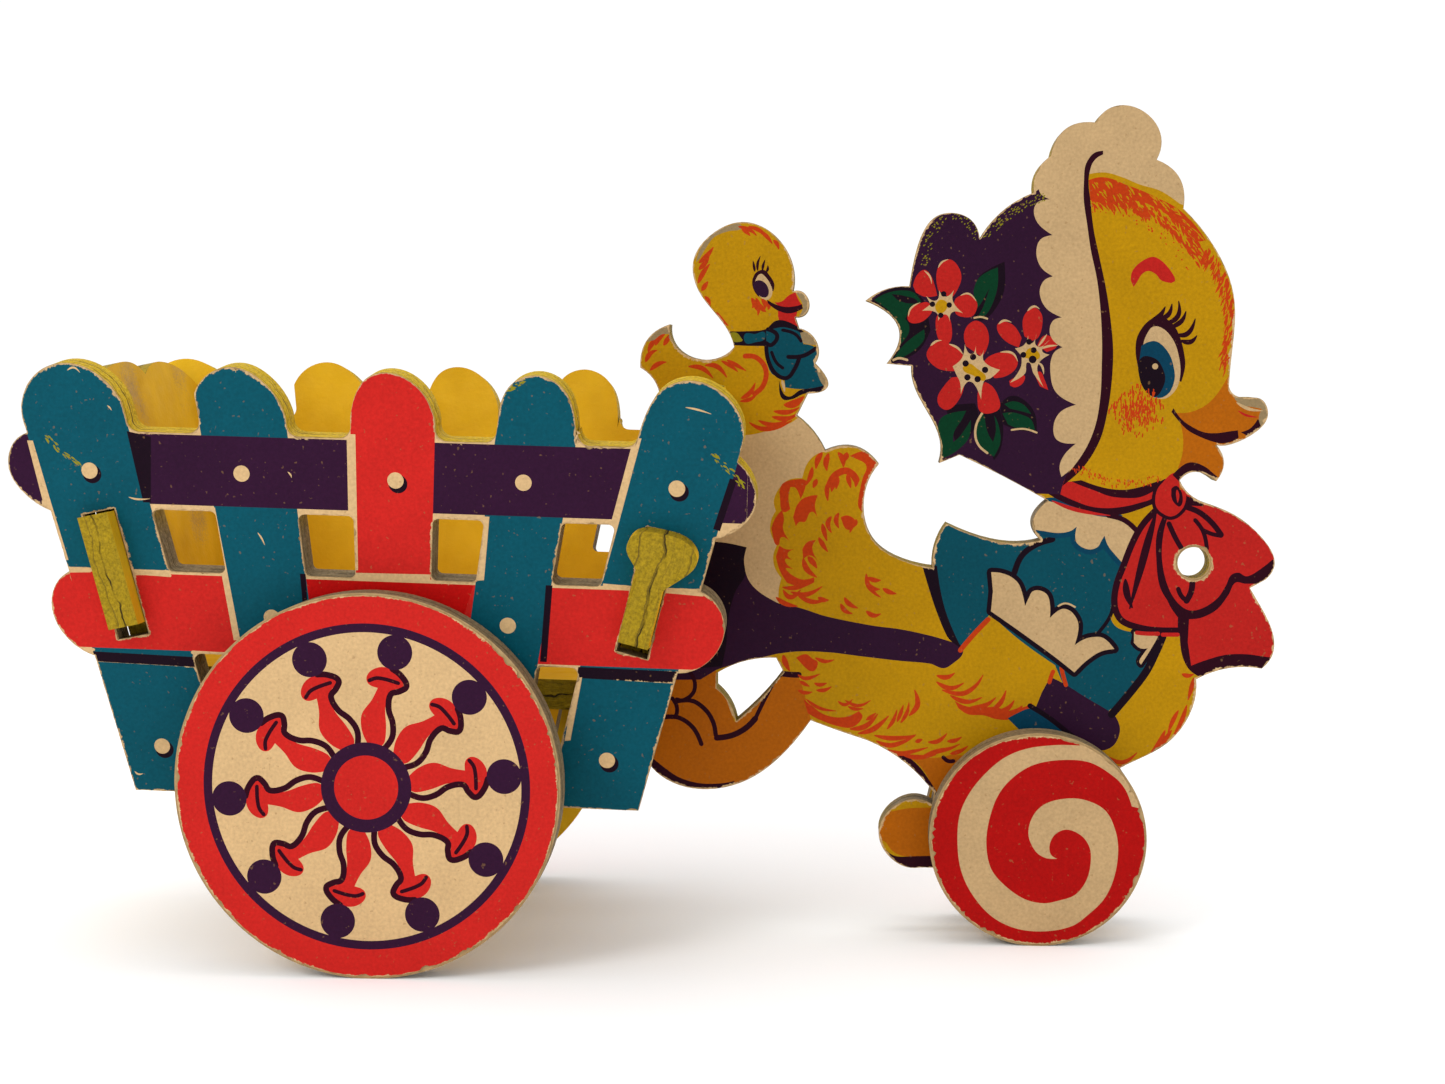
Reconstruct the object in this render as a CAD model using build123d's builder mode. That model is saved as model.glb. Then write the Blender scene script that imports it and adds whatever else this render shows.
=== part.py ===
from build123d import *
import os
from math import cos, radians, sin, tan

# A pull-along duck with a picket-fence cart, built from die-cut fibreboard panels.
# Millimetres. +X is forward (the way the duck faces), +Z is up, Z = 0 is the floor.
# The duck board stands on the plane Y = 0 and everything mirrors across it.

# ---------- driving dimensions ----------
BOARD = 6.35            # fibreboard thickness, 1/4 inch
PAPER = 0.25            # printed facing glued to the board
DOWEL_R = 3.175         # 1/4 inch axle dowels
RUN = 0.08              # radial running clearance of an axle in a board
GLUE = 0.02             # radial clearance of a glued joint
FIT = 0.12              # clearance on each face of a slotted joint

REAR_X, REAR_R = -58.0, 40.0        # rear axle position and wheel radius
FRONT_X, FRONT_R = 81.1, 23.3       # front axle position and wheel radius
REAR_FACE = 43.8                    # outer face of a rear wheel, from the centre plane
FRONT_FACE = 12.95                  # outer face of a front wheel
BLIND = 1.0                         # board left under the print at the end of an axle

CART_X, CART_Z = -55.0, 40.0        # origin of the cart's own axes
CART_PITCH = 1.9                    # the cart rides nose-down by this angle
LEAN = 8.0                          # each side leans outward at the top
END_TILT = 13.2                     # each end board leans away from the middle
SIDE_HALF = 30.3                    # outer face of a side at the cart's origin
RAIL_TOP = (55.5, 71.7)             # lower and upper edge of the top rail
RAIL_LOW = (24.9, 42.5)             # lower and upper edge of the bottom rail
FOOT = -5.8                         # bottom edge of the pickets
TONGUE = (31.2, 55.2)               # reach of an end board's side tongues, up the board
SLOT = (28.6, 55.6)                 # the slots they pass through
PROUD = 4.6                         # how far a tongue stands out of the side
FLOOR_TOP = 20.8                    # top of the cart floor
FLOOR_TABS, FLOOR_TAB = (-13, 13), 8   # floor tongues: their y positions and width
END_FOOT = 11.0                     # bottom edge of the end boards
LAP = 52.0                          # height where the duck board and front board halve together
STRING_X, STRING_Z, STRING_R = 115.0, 82.5, 3.4

cart = Location((CART_X, 0, CART_Z), (0, CART_PITCH, 0))


def in_cart(plane):
    """A plane given in the cart's own axes, carried into the toy's frame."""
    return Plane(cart * plane.location)


def along(points):
    """One edge of an outline: a line through two points, a curve through more."""
    return Line(*points) if len(points) == 2 else Spline(*points)


# ---------- pickets: left edge, head, right edge, in the side's own plane ----------
# u runs forward, v runs up the board
PICKETS = [
    [[(-56.0, FOOT), (-75.7, 72.0)],
     [(-75.7, 72.0), (-76.0, 78.0), (-72.0, 83.8), (-66.0, 85.5), (-59.0, 82.6), (-55.0, 77.2), (-53.9, 72.0)],
     [(-53.9, 72.0), (-35.0, FOOT)]],
    [[(-27.9, FOOT), (-39.0, 72.0)],
     [(-39.0, 72.0), (-40.3, 79.5), (-37.4, 83.8), (-31.5, 85.6), (-25.3, 82.3), (-22.0, 77.5), (-21.0, 72.0)],
     [(-21.0, 72.0), (-13.0, FOOT)]],
    [[(-7.0, FOOT), (-8.0, 72.0)],
     [(-8.0, 72.0), (-7.2, 80.0), (-4.2, 84.4), (-0.5, 85.4), (5.2, 83.2), (8.6, 78.5), (9.3, 72.0)],
     [(9.3, 72.0), (6.5, FOOT)]],
    [[(10.7, FOOT), (21.6, 72.0)],
     [(21.6, 72.0), (22.6, 79.5), (25.2, 84.0), (30.2, 85.7), (35.6, 83.0), (37.8, 77.5), (38.1, 72.0)],
     [(38.1, 72.0), (25.1, FOOT)]],
    [[(31.8, FOOT), (50.2, 72.0)],
     [(50.2, 72.0), (52.6, 79.5), (55.6, 83.7), (60.8, 85.6), (67.4, 83.4), (71.2, 78.8), (71.6, 72.0)],
     [(71.6, 72.0), (51.6, FOOT)]],
]
# each rail: straight part between two u values, then a bulging end at each side
TOP_ENDS = [
    [(-74.6, 71.0), (-79.0, 67.6), (-79.72, 63.6), (-77.2, 58.6), (-71.4, 54.6)],
    [(70.6, 69.6), (74.0, 65.4), (74.8, 60.6), (71.8, 55.8), (66.9, 53.4)],
]
LOW_ENDS = [
    [(-67.8, 41.8), (-71.4, 38.2), (-72.2, 34.4), (-70.2, 28.6), (-63.2, 23.6)],
    [(63.8, 42.2), (68.0, 38.4), (69.0, 34.4), (66.6, 28.2), (59.8, 24.6)],
]


def side_plane(lift=0.0):
    """Outer face of the right-hand side board: x forward, y up the board, z outward."""
    normal = (0, -cos(radians(LEAN)), -sin(radians(LEAN)))
    origin = (0, -SIDE_HALF + lift * normal[1], lift * normal[2])
    return in_cart(Plane(origin=origin, x_dir=(1, 0, 0), z_dir=normal))


# heights of each gap between two pickets: the strip to fill, the opening cut in it, corner radius
GAPS = [
    ((RAIL_LOW[0] - 2, RAIL_LOW[0]), (-40, RAIL_LOW[0]), 1.5),
    ((RAIL_LOW[1], RAIL_TOP[0]), (RAIL_LOW[1], RAIL_TOP[0]), 1.2),
    ((RAIL_TOP[1], RAIL_TOP[1] + 3), (RAIL_TOP[1], 110), 2.5),
]


def across(edge, height):
    """Where a picket's straight edge passes a height."""
    (u0, v0), (u1, v1) = edge
    return u0 + (u1 - u0) * (height - v0) / (v1 - v0)


def between(i, low, high):
    """The gap between picket i and the next one, from one height to another."""
    right, left = PICKETS[i][2], PICKETS[i + 1][0]
    return [(across(right, low), low), (across(left, low), low),
            (across(left, high), high), (across(right, high), high)]


def end_plane(front):
    """Mid-plane of an end board: x to the left (+Y), y up the board."""
    lean = radians(END_TILT if front else -END_TILT)
    base = 43.3 if front else -48.4     # where the mid-plane meets the cart's u axis
    normal = (cos(lean), 0, -sin(lean))
    return in_cart(Plane(origin=(base, 0, 0), x_dir=(0, 1, 0), z_dir=normal))


def side_board(thickness, lift, slot_gap):
    """A side board, or its printed facing, with the slots and the axle hole cut."""
    with BuildPart() as side:
        with BuildSketch(side_plane(lift)):
            for left, head, right in PICKETS:
                with BuildLine():
                    along(left)
                    along(head)
                    along(right)
                    Line(right[1], left[0])
                make_face()
            for (low, high), (back, fore) in ((RAIL_TOP, TOP_ENDS), (RAIL_LOW, LOW_ENDS)):
                Polygon((-60, low), (55, low), (55, high), (-60, high), align=None)
                for bulge in (back, fore):
                    with BuildLine():
                        along(bulge)
                        Polyline(bulge[-1], (0, low + 4), bulge[0])
                    make_face()
            # round the corners where the pickets cross the rails
            for i in range(len(PICKETS) - 1):
                for fill, opening, radius in GAPS:
                    Polygon(*between(i, *fill), align=None)
                    gap = Polygon(*between(i, *opening), align=None, mode=Mode.PRIVATE)
                    gap = offset(gap, amount=-radius, mode=Mode.PRIVATE)
                    gap = offset(gap, amount=radius, mode=Mode.PRIVATE)
                    add(gap, mode=Mode.SUBTRACT)
        extrude(amount=-thickness)
        # slots for the end boards' tongues, and the hole for the rear axle
        for front in (False, True):
            with BuildSketch(end_plane(front)):
                with Locations((-40, (SLOT[0] + SLOT[1]) / 2)):
                    Rectangle(40, SLOT[1] - SLOT[0])
            extrude(amount=BOARD / 2 + slot_gap, both=True, mode=Mode.SUBTRACT)
        with BuildSketch(Plane(origin=(REAR_X, 0, REAR_R), x_dir=(1, 0, 0), z_dir=(0, -1, 0))):
            Circle(DOWEL_R + RUN + slot_gap - FIT)
        extrude(amount=60, mode=Mode.SUBTRACT)
    return side.part


right_side = side_board(BOARD, 0.0, FIT)
right_print = side_board(PAPER, PAPER, FIT + 0.15)


# ---------- end boards ----------
def inner_half(up):
    """Half width between the leaning sides, at a height up an end board."""
    height = up * cos(radians(END_TILT)) - BOARD / 2 * sin(radians(END_TILT))
    return SIDE_HALF - BOARD / cos(radians(LEAN)) + height * tan(radians(LEAN)) - 0.1


def outer_half(up):
    return inner_half(up) + BOARD / cos(radians(LEAN))


def end_board(front):
    """Heart-topped end board with a tongue on each side and two slots for the floor."""
    top = 81.0
    with BuildPart() as end:
        with BuildSketch(end_plane(front)):
            for hand in (-1, 1):
                with BuildLine():
                    Polyline(
                        (0, 83.6),
                        (0, END_FOOT),
                        (hand * inner_half(END_FOOT), END_FOOT),
                        (hand * inner_half(TONGUE[0]), TONGUE[0]),
                        (hand * (outer_half(TONGUE[0]) + PROUD), TONGUE[0]),
                        (hand * (outer_half(TONGUE[1]) + PROUD), TONGUE[1]),
                        (hand * inner_half(TONGUE[1]), TONGUE[1]),
                        (hand * inner_half(top), top),
                    )
                    Spline(
                        (hand * inner_half(top), top),
                        (hand * 26, 84.4),
                        (hand * 14, 86.4),
                        (hand * 6, 86.0),
                        (0, 83.6),
                    )
                make_face()
        extrude(amount=BOARD / 2, both=True)
        with BuildSketch(end_plane(front)):
            with Locations(*[(y, FLOOR_TOP / cos(radians(END_TILT)) - 3.3) for y in FLOOR_TABS]):
                Rectangle(FLOOR_TAB + 0.3, 8.4)
        extrude(amount=BOARD, both=True, mode=Mode.SUBTRACT)
    return end.part


# The outer ends of the front tongues were hammered over, so they spread past the slot.
RIVET = [(48.2, 31.8), (50.2, 42.0), (50.9, 47.4), (49.0, 51.6), (50.4, 54.5), (56.2, 55.0),
         (62.4, 52.2), (63.4, 49.6), (59.8, 45.4), (57.2, 43.6), (54.0, 31.0)]

with BuildPart() as cart_front:
    add(end_board(True))
    # halving slot, open at the top, for the duck board
    with BuildSketch(end_plane(True)):
        with Locations((0, (LAP + 100) / 2)):
            Rectangle(BOARD + 2 * (PAPER + FIT), 100 - LAP)
    extrude(amount=BOARD, both=True, mode=Mode.SUBTRACT)
    with BuildSketch(side_plane(PAPER + 0.05)) as rivet:
        with BuildLine():
            Spline(*RIVET)
            Line(RIVET[-1], RIVET[0])
        make_face()
    extrude(amount=PROUD - 0.4)
    mirror(about=Plane.XZ)

cart_back = end_board(False)

# ---------- cart floor, with two tongues through each end board ----------
FLOOR_FRONT = 43.3 + FLOOR_TOP * tan(radians(END_TILT)) - BOARD / 2 / cos(radians(END_TILT)) - 1.8
FLOOR_BACK = -48.4 - FLOOR_TOP * tan(radians(END_TILT)) + BOARD / 2 / cos(radians(END_TILT)) + 1.8
floor_half = SIDE_HALF - BOARD / cos(radians(LEAN)) + (FLOOR_TOP - BOARD) * tan(radians(LEAN)) - 0.25
with BuildPart() as cart_floor:
    with BuildSketch(in_cart(Plane.XY.offset(FLOOR_TOP))):
        with Locations(((FLOOR_FRONT + FLOOR_BACK) / 2, 0)):
            Rectangle(FLOOR_FRONT - FLOOR_BACK, 2 * floor_half)
        with Locations(*[((FLOOR_FRONT + FLOOR_BACK) / 2, y) for y in FLOOR_TABS]):
            Rectangle(FLOOR_FRONT - FLOOR_BACK + 22, FLOOR_TAB)
    extrude(amount=-BOARD)

# ---------- the duck board ----------
# (x, z) runs, each a line or a smooth curve that ends in a corner of the cut outline
DUCK = [
    # bonnet flowers and crown
    [(53.5, 142.5), (55.2, 151.0), (59.5, 157.6), (64.5, 157.8), (68.5, 152.5)],
    [(68.5, 152.5), (73.0, 158.2), (80.0, 162.3)],
    [(80.0, 162.3), (80.6, 166.8), (83.5, 170.0)],
    [(83.5, 170.0), (87.0, 176.0), (93.0, 177.0)],
    [(93.0, 177.0), (98.6, 180.6), (104.2, 178.4), (106.0, 169.0)],
    [(106.0, 169.0), (110.6, 165.6), (111.8, 158.6)],
    # forehead, beak and chin
    [(111.8, 158.6), (118.6, 150.2), (122.8, 139.6), (122.6, 128.6), (122.0, 120.6)],
    [(122.0, 120.6), (124.6, 118.3), (129.0, 117.8), (130.4, 114.8), (127.6, 110.6), (119.6, 108.0)],
    [(119.6, 108.0), (121.2, 104.2), (119.6, 100.2)],
    [(119.6, 100.2), (113.4, 101.8), (111.8, 100.4)],
    # bow: right loop, then the right tail
    [(111.8, 100.4), (115.4, 96.4), (121.0, 94.2), (129.2, 88.4), (132.4, 82.4), (130.4, 78.8)],
    [(130.4, 78.8), (127.2, 77.0)],
    [(127.2, 77.0), (131.2, 70.0), (132.6, 64.0), (130.0, 59.4)],
    [(130.0, 59.4), (122.5, 59.4), (116.0, 57.0)],
    # belly, then the leg and foot behind the front wheel
    [(116.0, 57.0), (115.0, 50.0), (109.6, 42.6), (100.0, 37.4), (95.6, 34.0)],
    [(95.6, 34.0), (96.4, 24.0), (92.0, 15.0), (76.0, 12.4), (55.0, 14.5)],
    [(55.0, 14.5), (49.2, 17.2), (47.0, 22.6), (50.2, 28.2), (58.8, 28.9)],
    [(58.8, 28.9), (59.2, 31.4)],
    [(59.2, 31.4), (53.2, 37.8), (44.6, 43.0)],
    [(44.6, 43.0), (38.0, 45.2), (32.0, 47.4)],
    # trailing leg and foot
    [(32.0, 47.4), (25.4, 39.4), (17.8, 33.9), (8.6, 31.8), (0.6, 33.6), (-4.0, 37.6), (-5.6, 44.0), (-4.4, 52.0)],
    [(-4.4, 52.0), (-6.4, 61.4)],
    # tail of the board inside the cart
    [(-6.4, 61.4), (-13.8, 61.4)],
    [(-13.8, 61.4), (-2.6, 108.0)],
    [(-2.6, 108.0), (-1.0, 119.6)],
    # duckling
    [(-1.0, 119.6), (-2.4, 122.8), (-5.2, 125.2)],
    [(-5.2, 125.2), (-3.4, 131.6), (1.4, 134.6)],
    [(1.4, 134.6), (3.2, 129.2), (7.6, 127.0), (15.4, 129.6)],
    [(15.4, 129.6), (13.0, 134.8), (7.4, 142.4), (6.6, 148.4), (10.6, 154.0), (17.6, 156.6), (24.2, 153.8),
     (28.2, 147.2), (28.2, 141.6)],
    [(28.2, 141.6), (31.2, 140.6), (31.6, 137.8), (28.7, 136.0)],
    [(28.7, 136.0), (29.5, 133.6)],
    [(29.5, 133.6), (32.6, 131.8), (33.8, 128.8), (33.0, 126.0)],
    [(33.0, 126.0), (35.6, 120.6), (31.4, 119.4)],
    [(31.4, 119.4), (29.0, 114.6)],
    [(29.0, 114.6), (32.6, 111.2), (35.2, 107.0)],
    # tail, back, collar
    [(35.2, 107.0), (41.8, 107.8), (46.9, 104.0)],
    [(46.9, 104.0), (43.6, 94.8), (46.0, 87.0), (52.0, 83.0), (58.6, 81.4)],
    [(58.6, 81.4), (59.6, 87.4), (61.6, 91.0)],
    [(61.6, 91.0), (69.0, 88.0), (75.0, 86.8), (82.0, 87.4)],
    [(82.0, 87.4), (80.4, 90.0), (83.5, 96.0)],
    # hat leaves
    [(83.5, 96.0), (76.0, 100.2), (64.4, 106.0)],
    [(64.4, 106.0), (60.0, 104.2)],
    [(60.0, 104.2), (59.9, 110.6), (56.2, 117.6), (54.0, 125.3)],
    [(54.0, 125.3), (48.6, 125.8)],
    [(48.6, 125.8), (51.4, 132.6), (44.0, 139.5)],
    [(44.0, 139.5), (48.0, 141.8), (53.5, 142.5)],
]
# the gap between the pole and the trailing foot
GAP = [
    [(11.2, 57.8), (17.6, 60.6), (24.4, 61.3)],
    [(24.4, 61.3), (26.0, 58.2)],
    [(26.0, 58.2), (20.4, 51.6), (15.6, 47.2)],
    [(15.6, 47.2), (13.6, 52.0), (11.2, 54.6)],
    [(11.2, 54.6), (11.2, 57.8)],
]


def duck_outline(thickness, face, hole_extra):
    """The duck board or one of its printed facings; face is its y on the -Y side."""
    with BuildPart() as duck:
        with BuildSketch(Plane(origin=(0, face, 0), x_dir=(1, 0, 0), z_dir=(0, -1, 0))):
            with BuildLine():
                for run in DUCK:
                    along(run)
            make_face()
            with BuildLine():
                for run in GAP:
                    along(run)
            make_face(mode=Mode.SUBTRACT)
            with Locations((STRING_X, STRING_Z)):
                Circle(STRING_R + hole_extra, mode=Mode.SUBTRACT)
            with Locations((FRONT_X, FRONT_R)):
                Circle(DOWEL_R + RUN + hole_extra, mode=Mode.SUBTRACT)
        extrude(amount=-thickness)
        # halving slot, open at the bottom, for the cart's front board
        with BuildSketch(end_plane(True)):
            with Locations((0, (LAP + 5) / 2)):
                Rectangle(30, LAP - 5)
        extrude(amount=BOARD / 2 + FIT + hole_extra / 4, both=True, mode=Mode.SUBTRACT)
    return duck.part


duck_board = duck_outline(BOARD, -BOARD / 2, 0.0)
duck_print = duck_outline(PAPER, -BOARD / 2 - PAPER, 0.4)


# ---------- wheels and axles ----------
def wheel(x, radius, face):
    """A right-hand board wheel with a blind hole for its axle in the back."""
    back = face - BOARD
    with BuildPart() as disc:
        with BuildSketch(Plane(origin=(x, -back, radius), x_dir=(1, 0, 0), z_dir=(0, -1, 0))):
            Circle(radius)
        extrude(amount=BOARD)
        with BuildSketch(Plane(origin=(x, -back, radius), x_dir=(1, 0, 0), z_dir=(0, -1, 0))):
            Circle(DOWEL_R + GLUE)
        extrude(amount=BOARD - BLIND, mode=Mode.SUBTRACT)
    return disc.part


def wheel_print(x, radius, face):
    """The printed facing of a right-hand wheel, worn back from the rim."""
    with BuildPart() as disc:
        with BuildSketch(Plane(origin=(x, -face, radius), x_dir=(1, 0, 0), z_dir=(0, -1, 0))):
            Circle(radius - 0.4)
        extrude(amount=PAPER)
    return disc.part


def axle(x, height, face):
    half = face - BLIND - 0.05
    with BuildPart() as rod:
        with BuildSketch(Plane(origin=(x, half, height), x_dir=(1, 0, 0), z_dir=(0, -1, 0))):
            Circle(DOWEL_R)
        extrude(amount=2 * half)
    return rod.part


def other_hand(part):
    return mirror(part, about=Plane.XZ)


# ---------- export ----------
right_parts = {
    "cart_side": right_side,
    "cart_side_print": right_print,
    "duck_print": duck_print,
    "rear_wheel": wheel(REAR_X, REAR_R, REAR_FACE),
    "rear_wheel_print": wheel_print(REAR_X, REAR_R, REAR_FACE),
    "front_wheel": wheel(FRONT_X, FRONT_R, FRONT_FACE),
    "front_wheel_print": wheel_print(FRONT_X, FRONT_R, FRONT_FACE),
}
parts = {
    "duck_board": duck_board,
    "cart_front": cart_front.part,
    "cart_back": cart_back,
    "cart_floor": cart_floor.part,
    "rear_axle": axle(REAR_X, REAR_R, REAR_FACE),
    "front_axle": axle(FRONT_X, FRONT_R, FRONT_FACE),
}
for name, part in right_parts.items():
    parts[name + "_right"] = part
    parts[name + "_left"] = other_hand(part)

os.makedirs("parts", exist_ok=True)
for name, part in parts.items():
    part.label = name
    export_step(part, "parts/" + name + ".step")
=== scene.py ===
"""The looks of a printed fibreboard pull-along toy: a duck pulling a slatted cart, on four wheels."""

import math
import random

import bpy
import numpy as np
from mathutils import Matrix, Vector
from mathutils.geometry import delaunay_2d_cdt


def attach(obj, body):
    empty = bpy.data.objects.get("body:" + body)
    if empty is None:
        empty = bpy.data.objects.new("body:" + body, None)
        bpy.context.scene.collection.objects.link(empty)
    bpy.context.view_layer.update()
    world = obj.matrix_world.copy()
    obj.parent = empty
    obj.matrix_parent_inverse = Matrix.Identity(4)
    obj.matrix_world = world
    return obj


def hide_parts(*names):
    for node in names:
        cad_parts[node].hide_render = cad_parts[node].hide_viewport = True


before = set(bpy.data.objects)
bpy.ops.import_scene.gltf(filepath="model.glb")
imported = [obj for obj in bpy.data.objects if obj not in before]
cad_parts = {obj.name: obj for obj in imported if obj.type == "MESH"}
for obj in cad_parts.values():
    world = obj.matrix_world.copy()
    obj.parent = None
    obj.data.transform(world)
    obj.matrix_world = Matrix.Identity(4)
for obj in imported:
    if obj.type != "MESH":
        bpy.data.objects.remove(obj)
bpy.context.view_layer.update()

# ---------------------------------------------------------------- sizes (millimetres and degrees)

MM = 0.001
PAPER = 0.25          # thickness of a printed facing
STEP = 0.45           # spacing of points along a printed outline
DUCK_FACE = 3.425     # outer face of the duck's print, from the centre plane
CART_ORIGIN = (-55.0, 0.0, 40.0)
CART_PITCH = math.radians(1.9)
LEAN = math.radians(8.0)
SIDE_HALF = 30.3      # outer face of a cart side at the cart's origin
REAR_CENTRE = (-58.0, 40.0)
REAR_FACE = 44.05
REAR_R = 40.0
FRONT_CENTRE = (81.1, 23.3)
FRONT_FACE = 13.2
SIDES = {"right": 1.0, "left": -1.0}

DUCK_PAINTED_SHADE = 0.78         # painted shade: the duck's inks darkened for light falling off across the toy
# painted shade: the front wheels' inks darkened the same way
FRONT_WHEEL_PAINTED_SHADE = 0.80
CHEEK = (102.4, 115.0)
ROUND_END = 0.49         # radius of a stroke's round end, as a share of its width
WORLD_STRENGTH = 1.05
CAMERA_PLACE = (41.616, -462.045, 126.572)
CAMERA_YAW, CAMERA_PITCH, CAMERA_ROLL = 0.0630, 0.0860, -0.0045   # radians
CAMERA_LENS = 52.31


def srgb(red, green, blue):
    """A colour given in 0-255 display values, as linear numbers with alpha."""
    def linear(value):
        value /= 255.0
        return value / 12.92 if value <= 0.04045 else ((value + 0.055) / 1.055) ** 2.4
    return (linear(red), linear(green), linear(blue), 1.0)


INKS = {
    "beige": srgb(196, 163, 117),
    "yellow": srgb(184, 136, 4),
    "orange": srgb(178, 95, 5),
    "purple": srgb(44, 15, 42),
    "black": srgb(22, 6, 20),
    "maroon": srgb(42, 3, 20),
    "red": srgb(184, 32, 27),
    "deep_red": srgb(174, 12, 10),
    "feather": srgb(188, 58, 12),
    "teal": srgb(4, 72, 86),
    "navy": srgb(3, 60, 84),
    "green": srgb(2, 54, 30),
    "bare": srgb(150, 128, 92),
    "olive": srgb(132, 122, 20),
}

# ---------------------------------------------------------------- flat artwork


def smooth(path, closed):
    """Points along a curve through path, in mm. A third value of 1 marks a sharp corner."""
    points = [Vector(p[:2]) for p in path]
    sharp = [len(p) > 2 for p in path]
    count = len(points)
    if not closed:
        sharp[0] = sharp[-1] = True
    line = []
    for i in range(count if closed else count - 1):
        j = (i + 1) % count
        a, b = points[i], points[j]
        chord = b - a
        if chord.length < 1e-6:
            continue
        before = None if sharp[i] else b - points[i - 1]
        after = None if sharp[j] else points[(j + 1) % count] - a
        start = before.normalized() * chord.length if before else None
        end = after.normalized() * chord.length if after else None
        steps = max(1, math.ceil(chord.length / STEP)) if (start or end) else 1
        if start is None:
            start = chord * 1.5 - (end if end else chord) * 0.5
        if end is None:
            end = chord * 1.5 - start * 0.5
        for k in range(steps):
            t = k / steps
            line.append(a * (2 * t**3 - 3 * t**2 + 1) + start * (t**3 - 2 * t**2 + t)
                        + b * (3 * t**2 - 2 * t**3) + end * (t**3 - t**2))
    if not closed:
        line.append(points[-1])
    return np.array([p[:] for p in line])


def offsets(centre, widths):
    """The two edges of a stroke along centre."""
    ahead = np.gradient(centre, axis=0)
    ahead /= np.linalg.norm(ahead, axis=1)[:, None] + 1e-9
    across = np.stack([-ahead[:, 1], ahead[:, 0]], 1) * (np.asarray(widths) / 2)[:, None]
    return centre + across, centre - across


def inside(points, ring):
    """Which points lie inside a closed outline, by the even-odd rule."""
    hit = np.zeros(len(points), bool)
    a, b = ring, np.roll(ring, -1, 0)
    for (x0, y0), (x1, y1) in zip(a, b):
        if y0 == y1:
            continue
        crosses = (y0 > points[:, 1]) != (y1 > points[:, 1])
        hit ^= crosses & (points[:, 0] < (x1 - x0) * (points[:, 1] - y0) / (y1 - y0) + x0)
    return hit


def distance(points, starts, ends):
    """Distance in mm from each point to the nearest of many short segments."""
    nearest = np.full(len(points), 1e9)
    along = ends - starts
    length2 = (along**2).sum(1) + 1e-12
    for first in range(0, len(points), 2000):
        block = points[first:first + 2000, None, :] - starts[None]
        t = np.clip((block * along[None]).sum(2) / length2[None], 0, 1)
        gap = block - t[:, :, None] * along[None]
        nearest[first:first + 2000] = np.sqrt((gap**2).sum(2).min(1))
    return nearest


class Art:
    """Inks laid over each other on a flat sheet, in the order of printing. All places are in mm."""

    def __init__(self, base, tone=1.0):
        self.base = base
        self.tone = tone  # painted shade: how much this whole sheet's inks are darkened, 1.0 for none
        self.areas = []   # (ink, closed outline)

    def fill(self, ink, path):
        self.areas.append((ink, smooth(path, closed=True)))

    def disc(self, ink, x, y, radius):
        count = max(12, math.ceil(2 * math.pi * radius / STEP))
        turn = np.linspace(0, 2 * math.pi, count, endpoint=False)
        self.areas.append((ink, np.stack([x + radius * np.cos(turn), y + radius * np.sin(turn)], 1)))

    def dots(self, ink, diameter, places):
        for x, y in places:
            self.disc(ink, x, y, diameter / 2)

    def stroke(self, ink, centre, widths):
        left, right = offsets(centre, widths)
        self.areas.append((ink, np.concatenate([left, right[::-1]])))

    def pen(self, ink, width, *paths):
        for path in paths:
            centre = smooth(path, closed=False)
            self.stroke(ink, centre, np.full(len(centre), width))
            for x, y in (centre[0], centre[-1]):
                self.disc(ink, x, y, width * ROUND_END)

    def brush(self, ink, width, *paths):
        for path in paths:
            centre = smooth(path, closed=False)
            t = np.linspace(0, 1, len(centre))
            self.stroke(ink, centre, width * (0.18 + 0.82 * np.sin(math.pi * t**0.8)))

    def rim(self, ink, width, path):
        """A line of that width drawn along a closed path."""
        ring = smooth(path, closed=True)
        for first in range(0, len(ring), 6):
            part = np.take(ring, range(first, first + 8), axis=0, mode="wrap")
            self.stroke(ink, part, np.full(len(part), width))
        for p in path:
            if len(p) > 2:
                self.disc(ink, p[0], p[1], width * ROUND_END)


def draw_ground(art):
    """Ground: backdrop behind the duckling, then the tail over it."""
    art.fill("beige", [(-14.2, 109.4, 1), (18, 110.4), (22.2, 111.2), (27.6, 113), (29.8, 114.6, 1),
        (42.8, 112.6, 1), (42.8, 74.2, 1), (25, 71.4, 1), (-14.4, 83, 1)])
    art.fill("yellow", [(35.4, 106.8, 1), (33, 106), (31.2, 104), (30.2, 101, 1), (27.2, 100.6),
        (25.2, 98.8), (24, 96.2), (24.4, 93.8, 1), (23.4, 91.8), (23.2, 89.2), (24.6, 86.2, 1),
        (23.8, 83.8), (24.2, 81.2), (25.6, 79, 1), (25, 76.4), (25, 72.8, 1), (45, 67.6, 1),
        (58.2, 63.2, 1), (58.2, 83, 1), (49.4, 110.4, 1)])
    art.fill("orange", [(-23.6, 61.8, 1), (7.6, 61.8), (11.2, 58.2, 1), (15.2, 47, 1), (26, 58.2, 1),
        (29, 57.4), (30.4, 54.2), (31.8, 48.6), (32.4, 46.6, 1), (20.8, 27.2, 1), (-24, 26.8, 1)])


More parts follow.
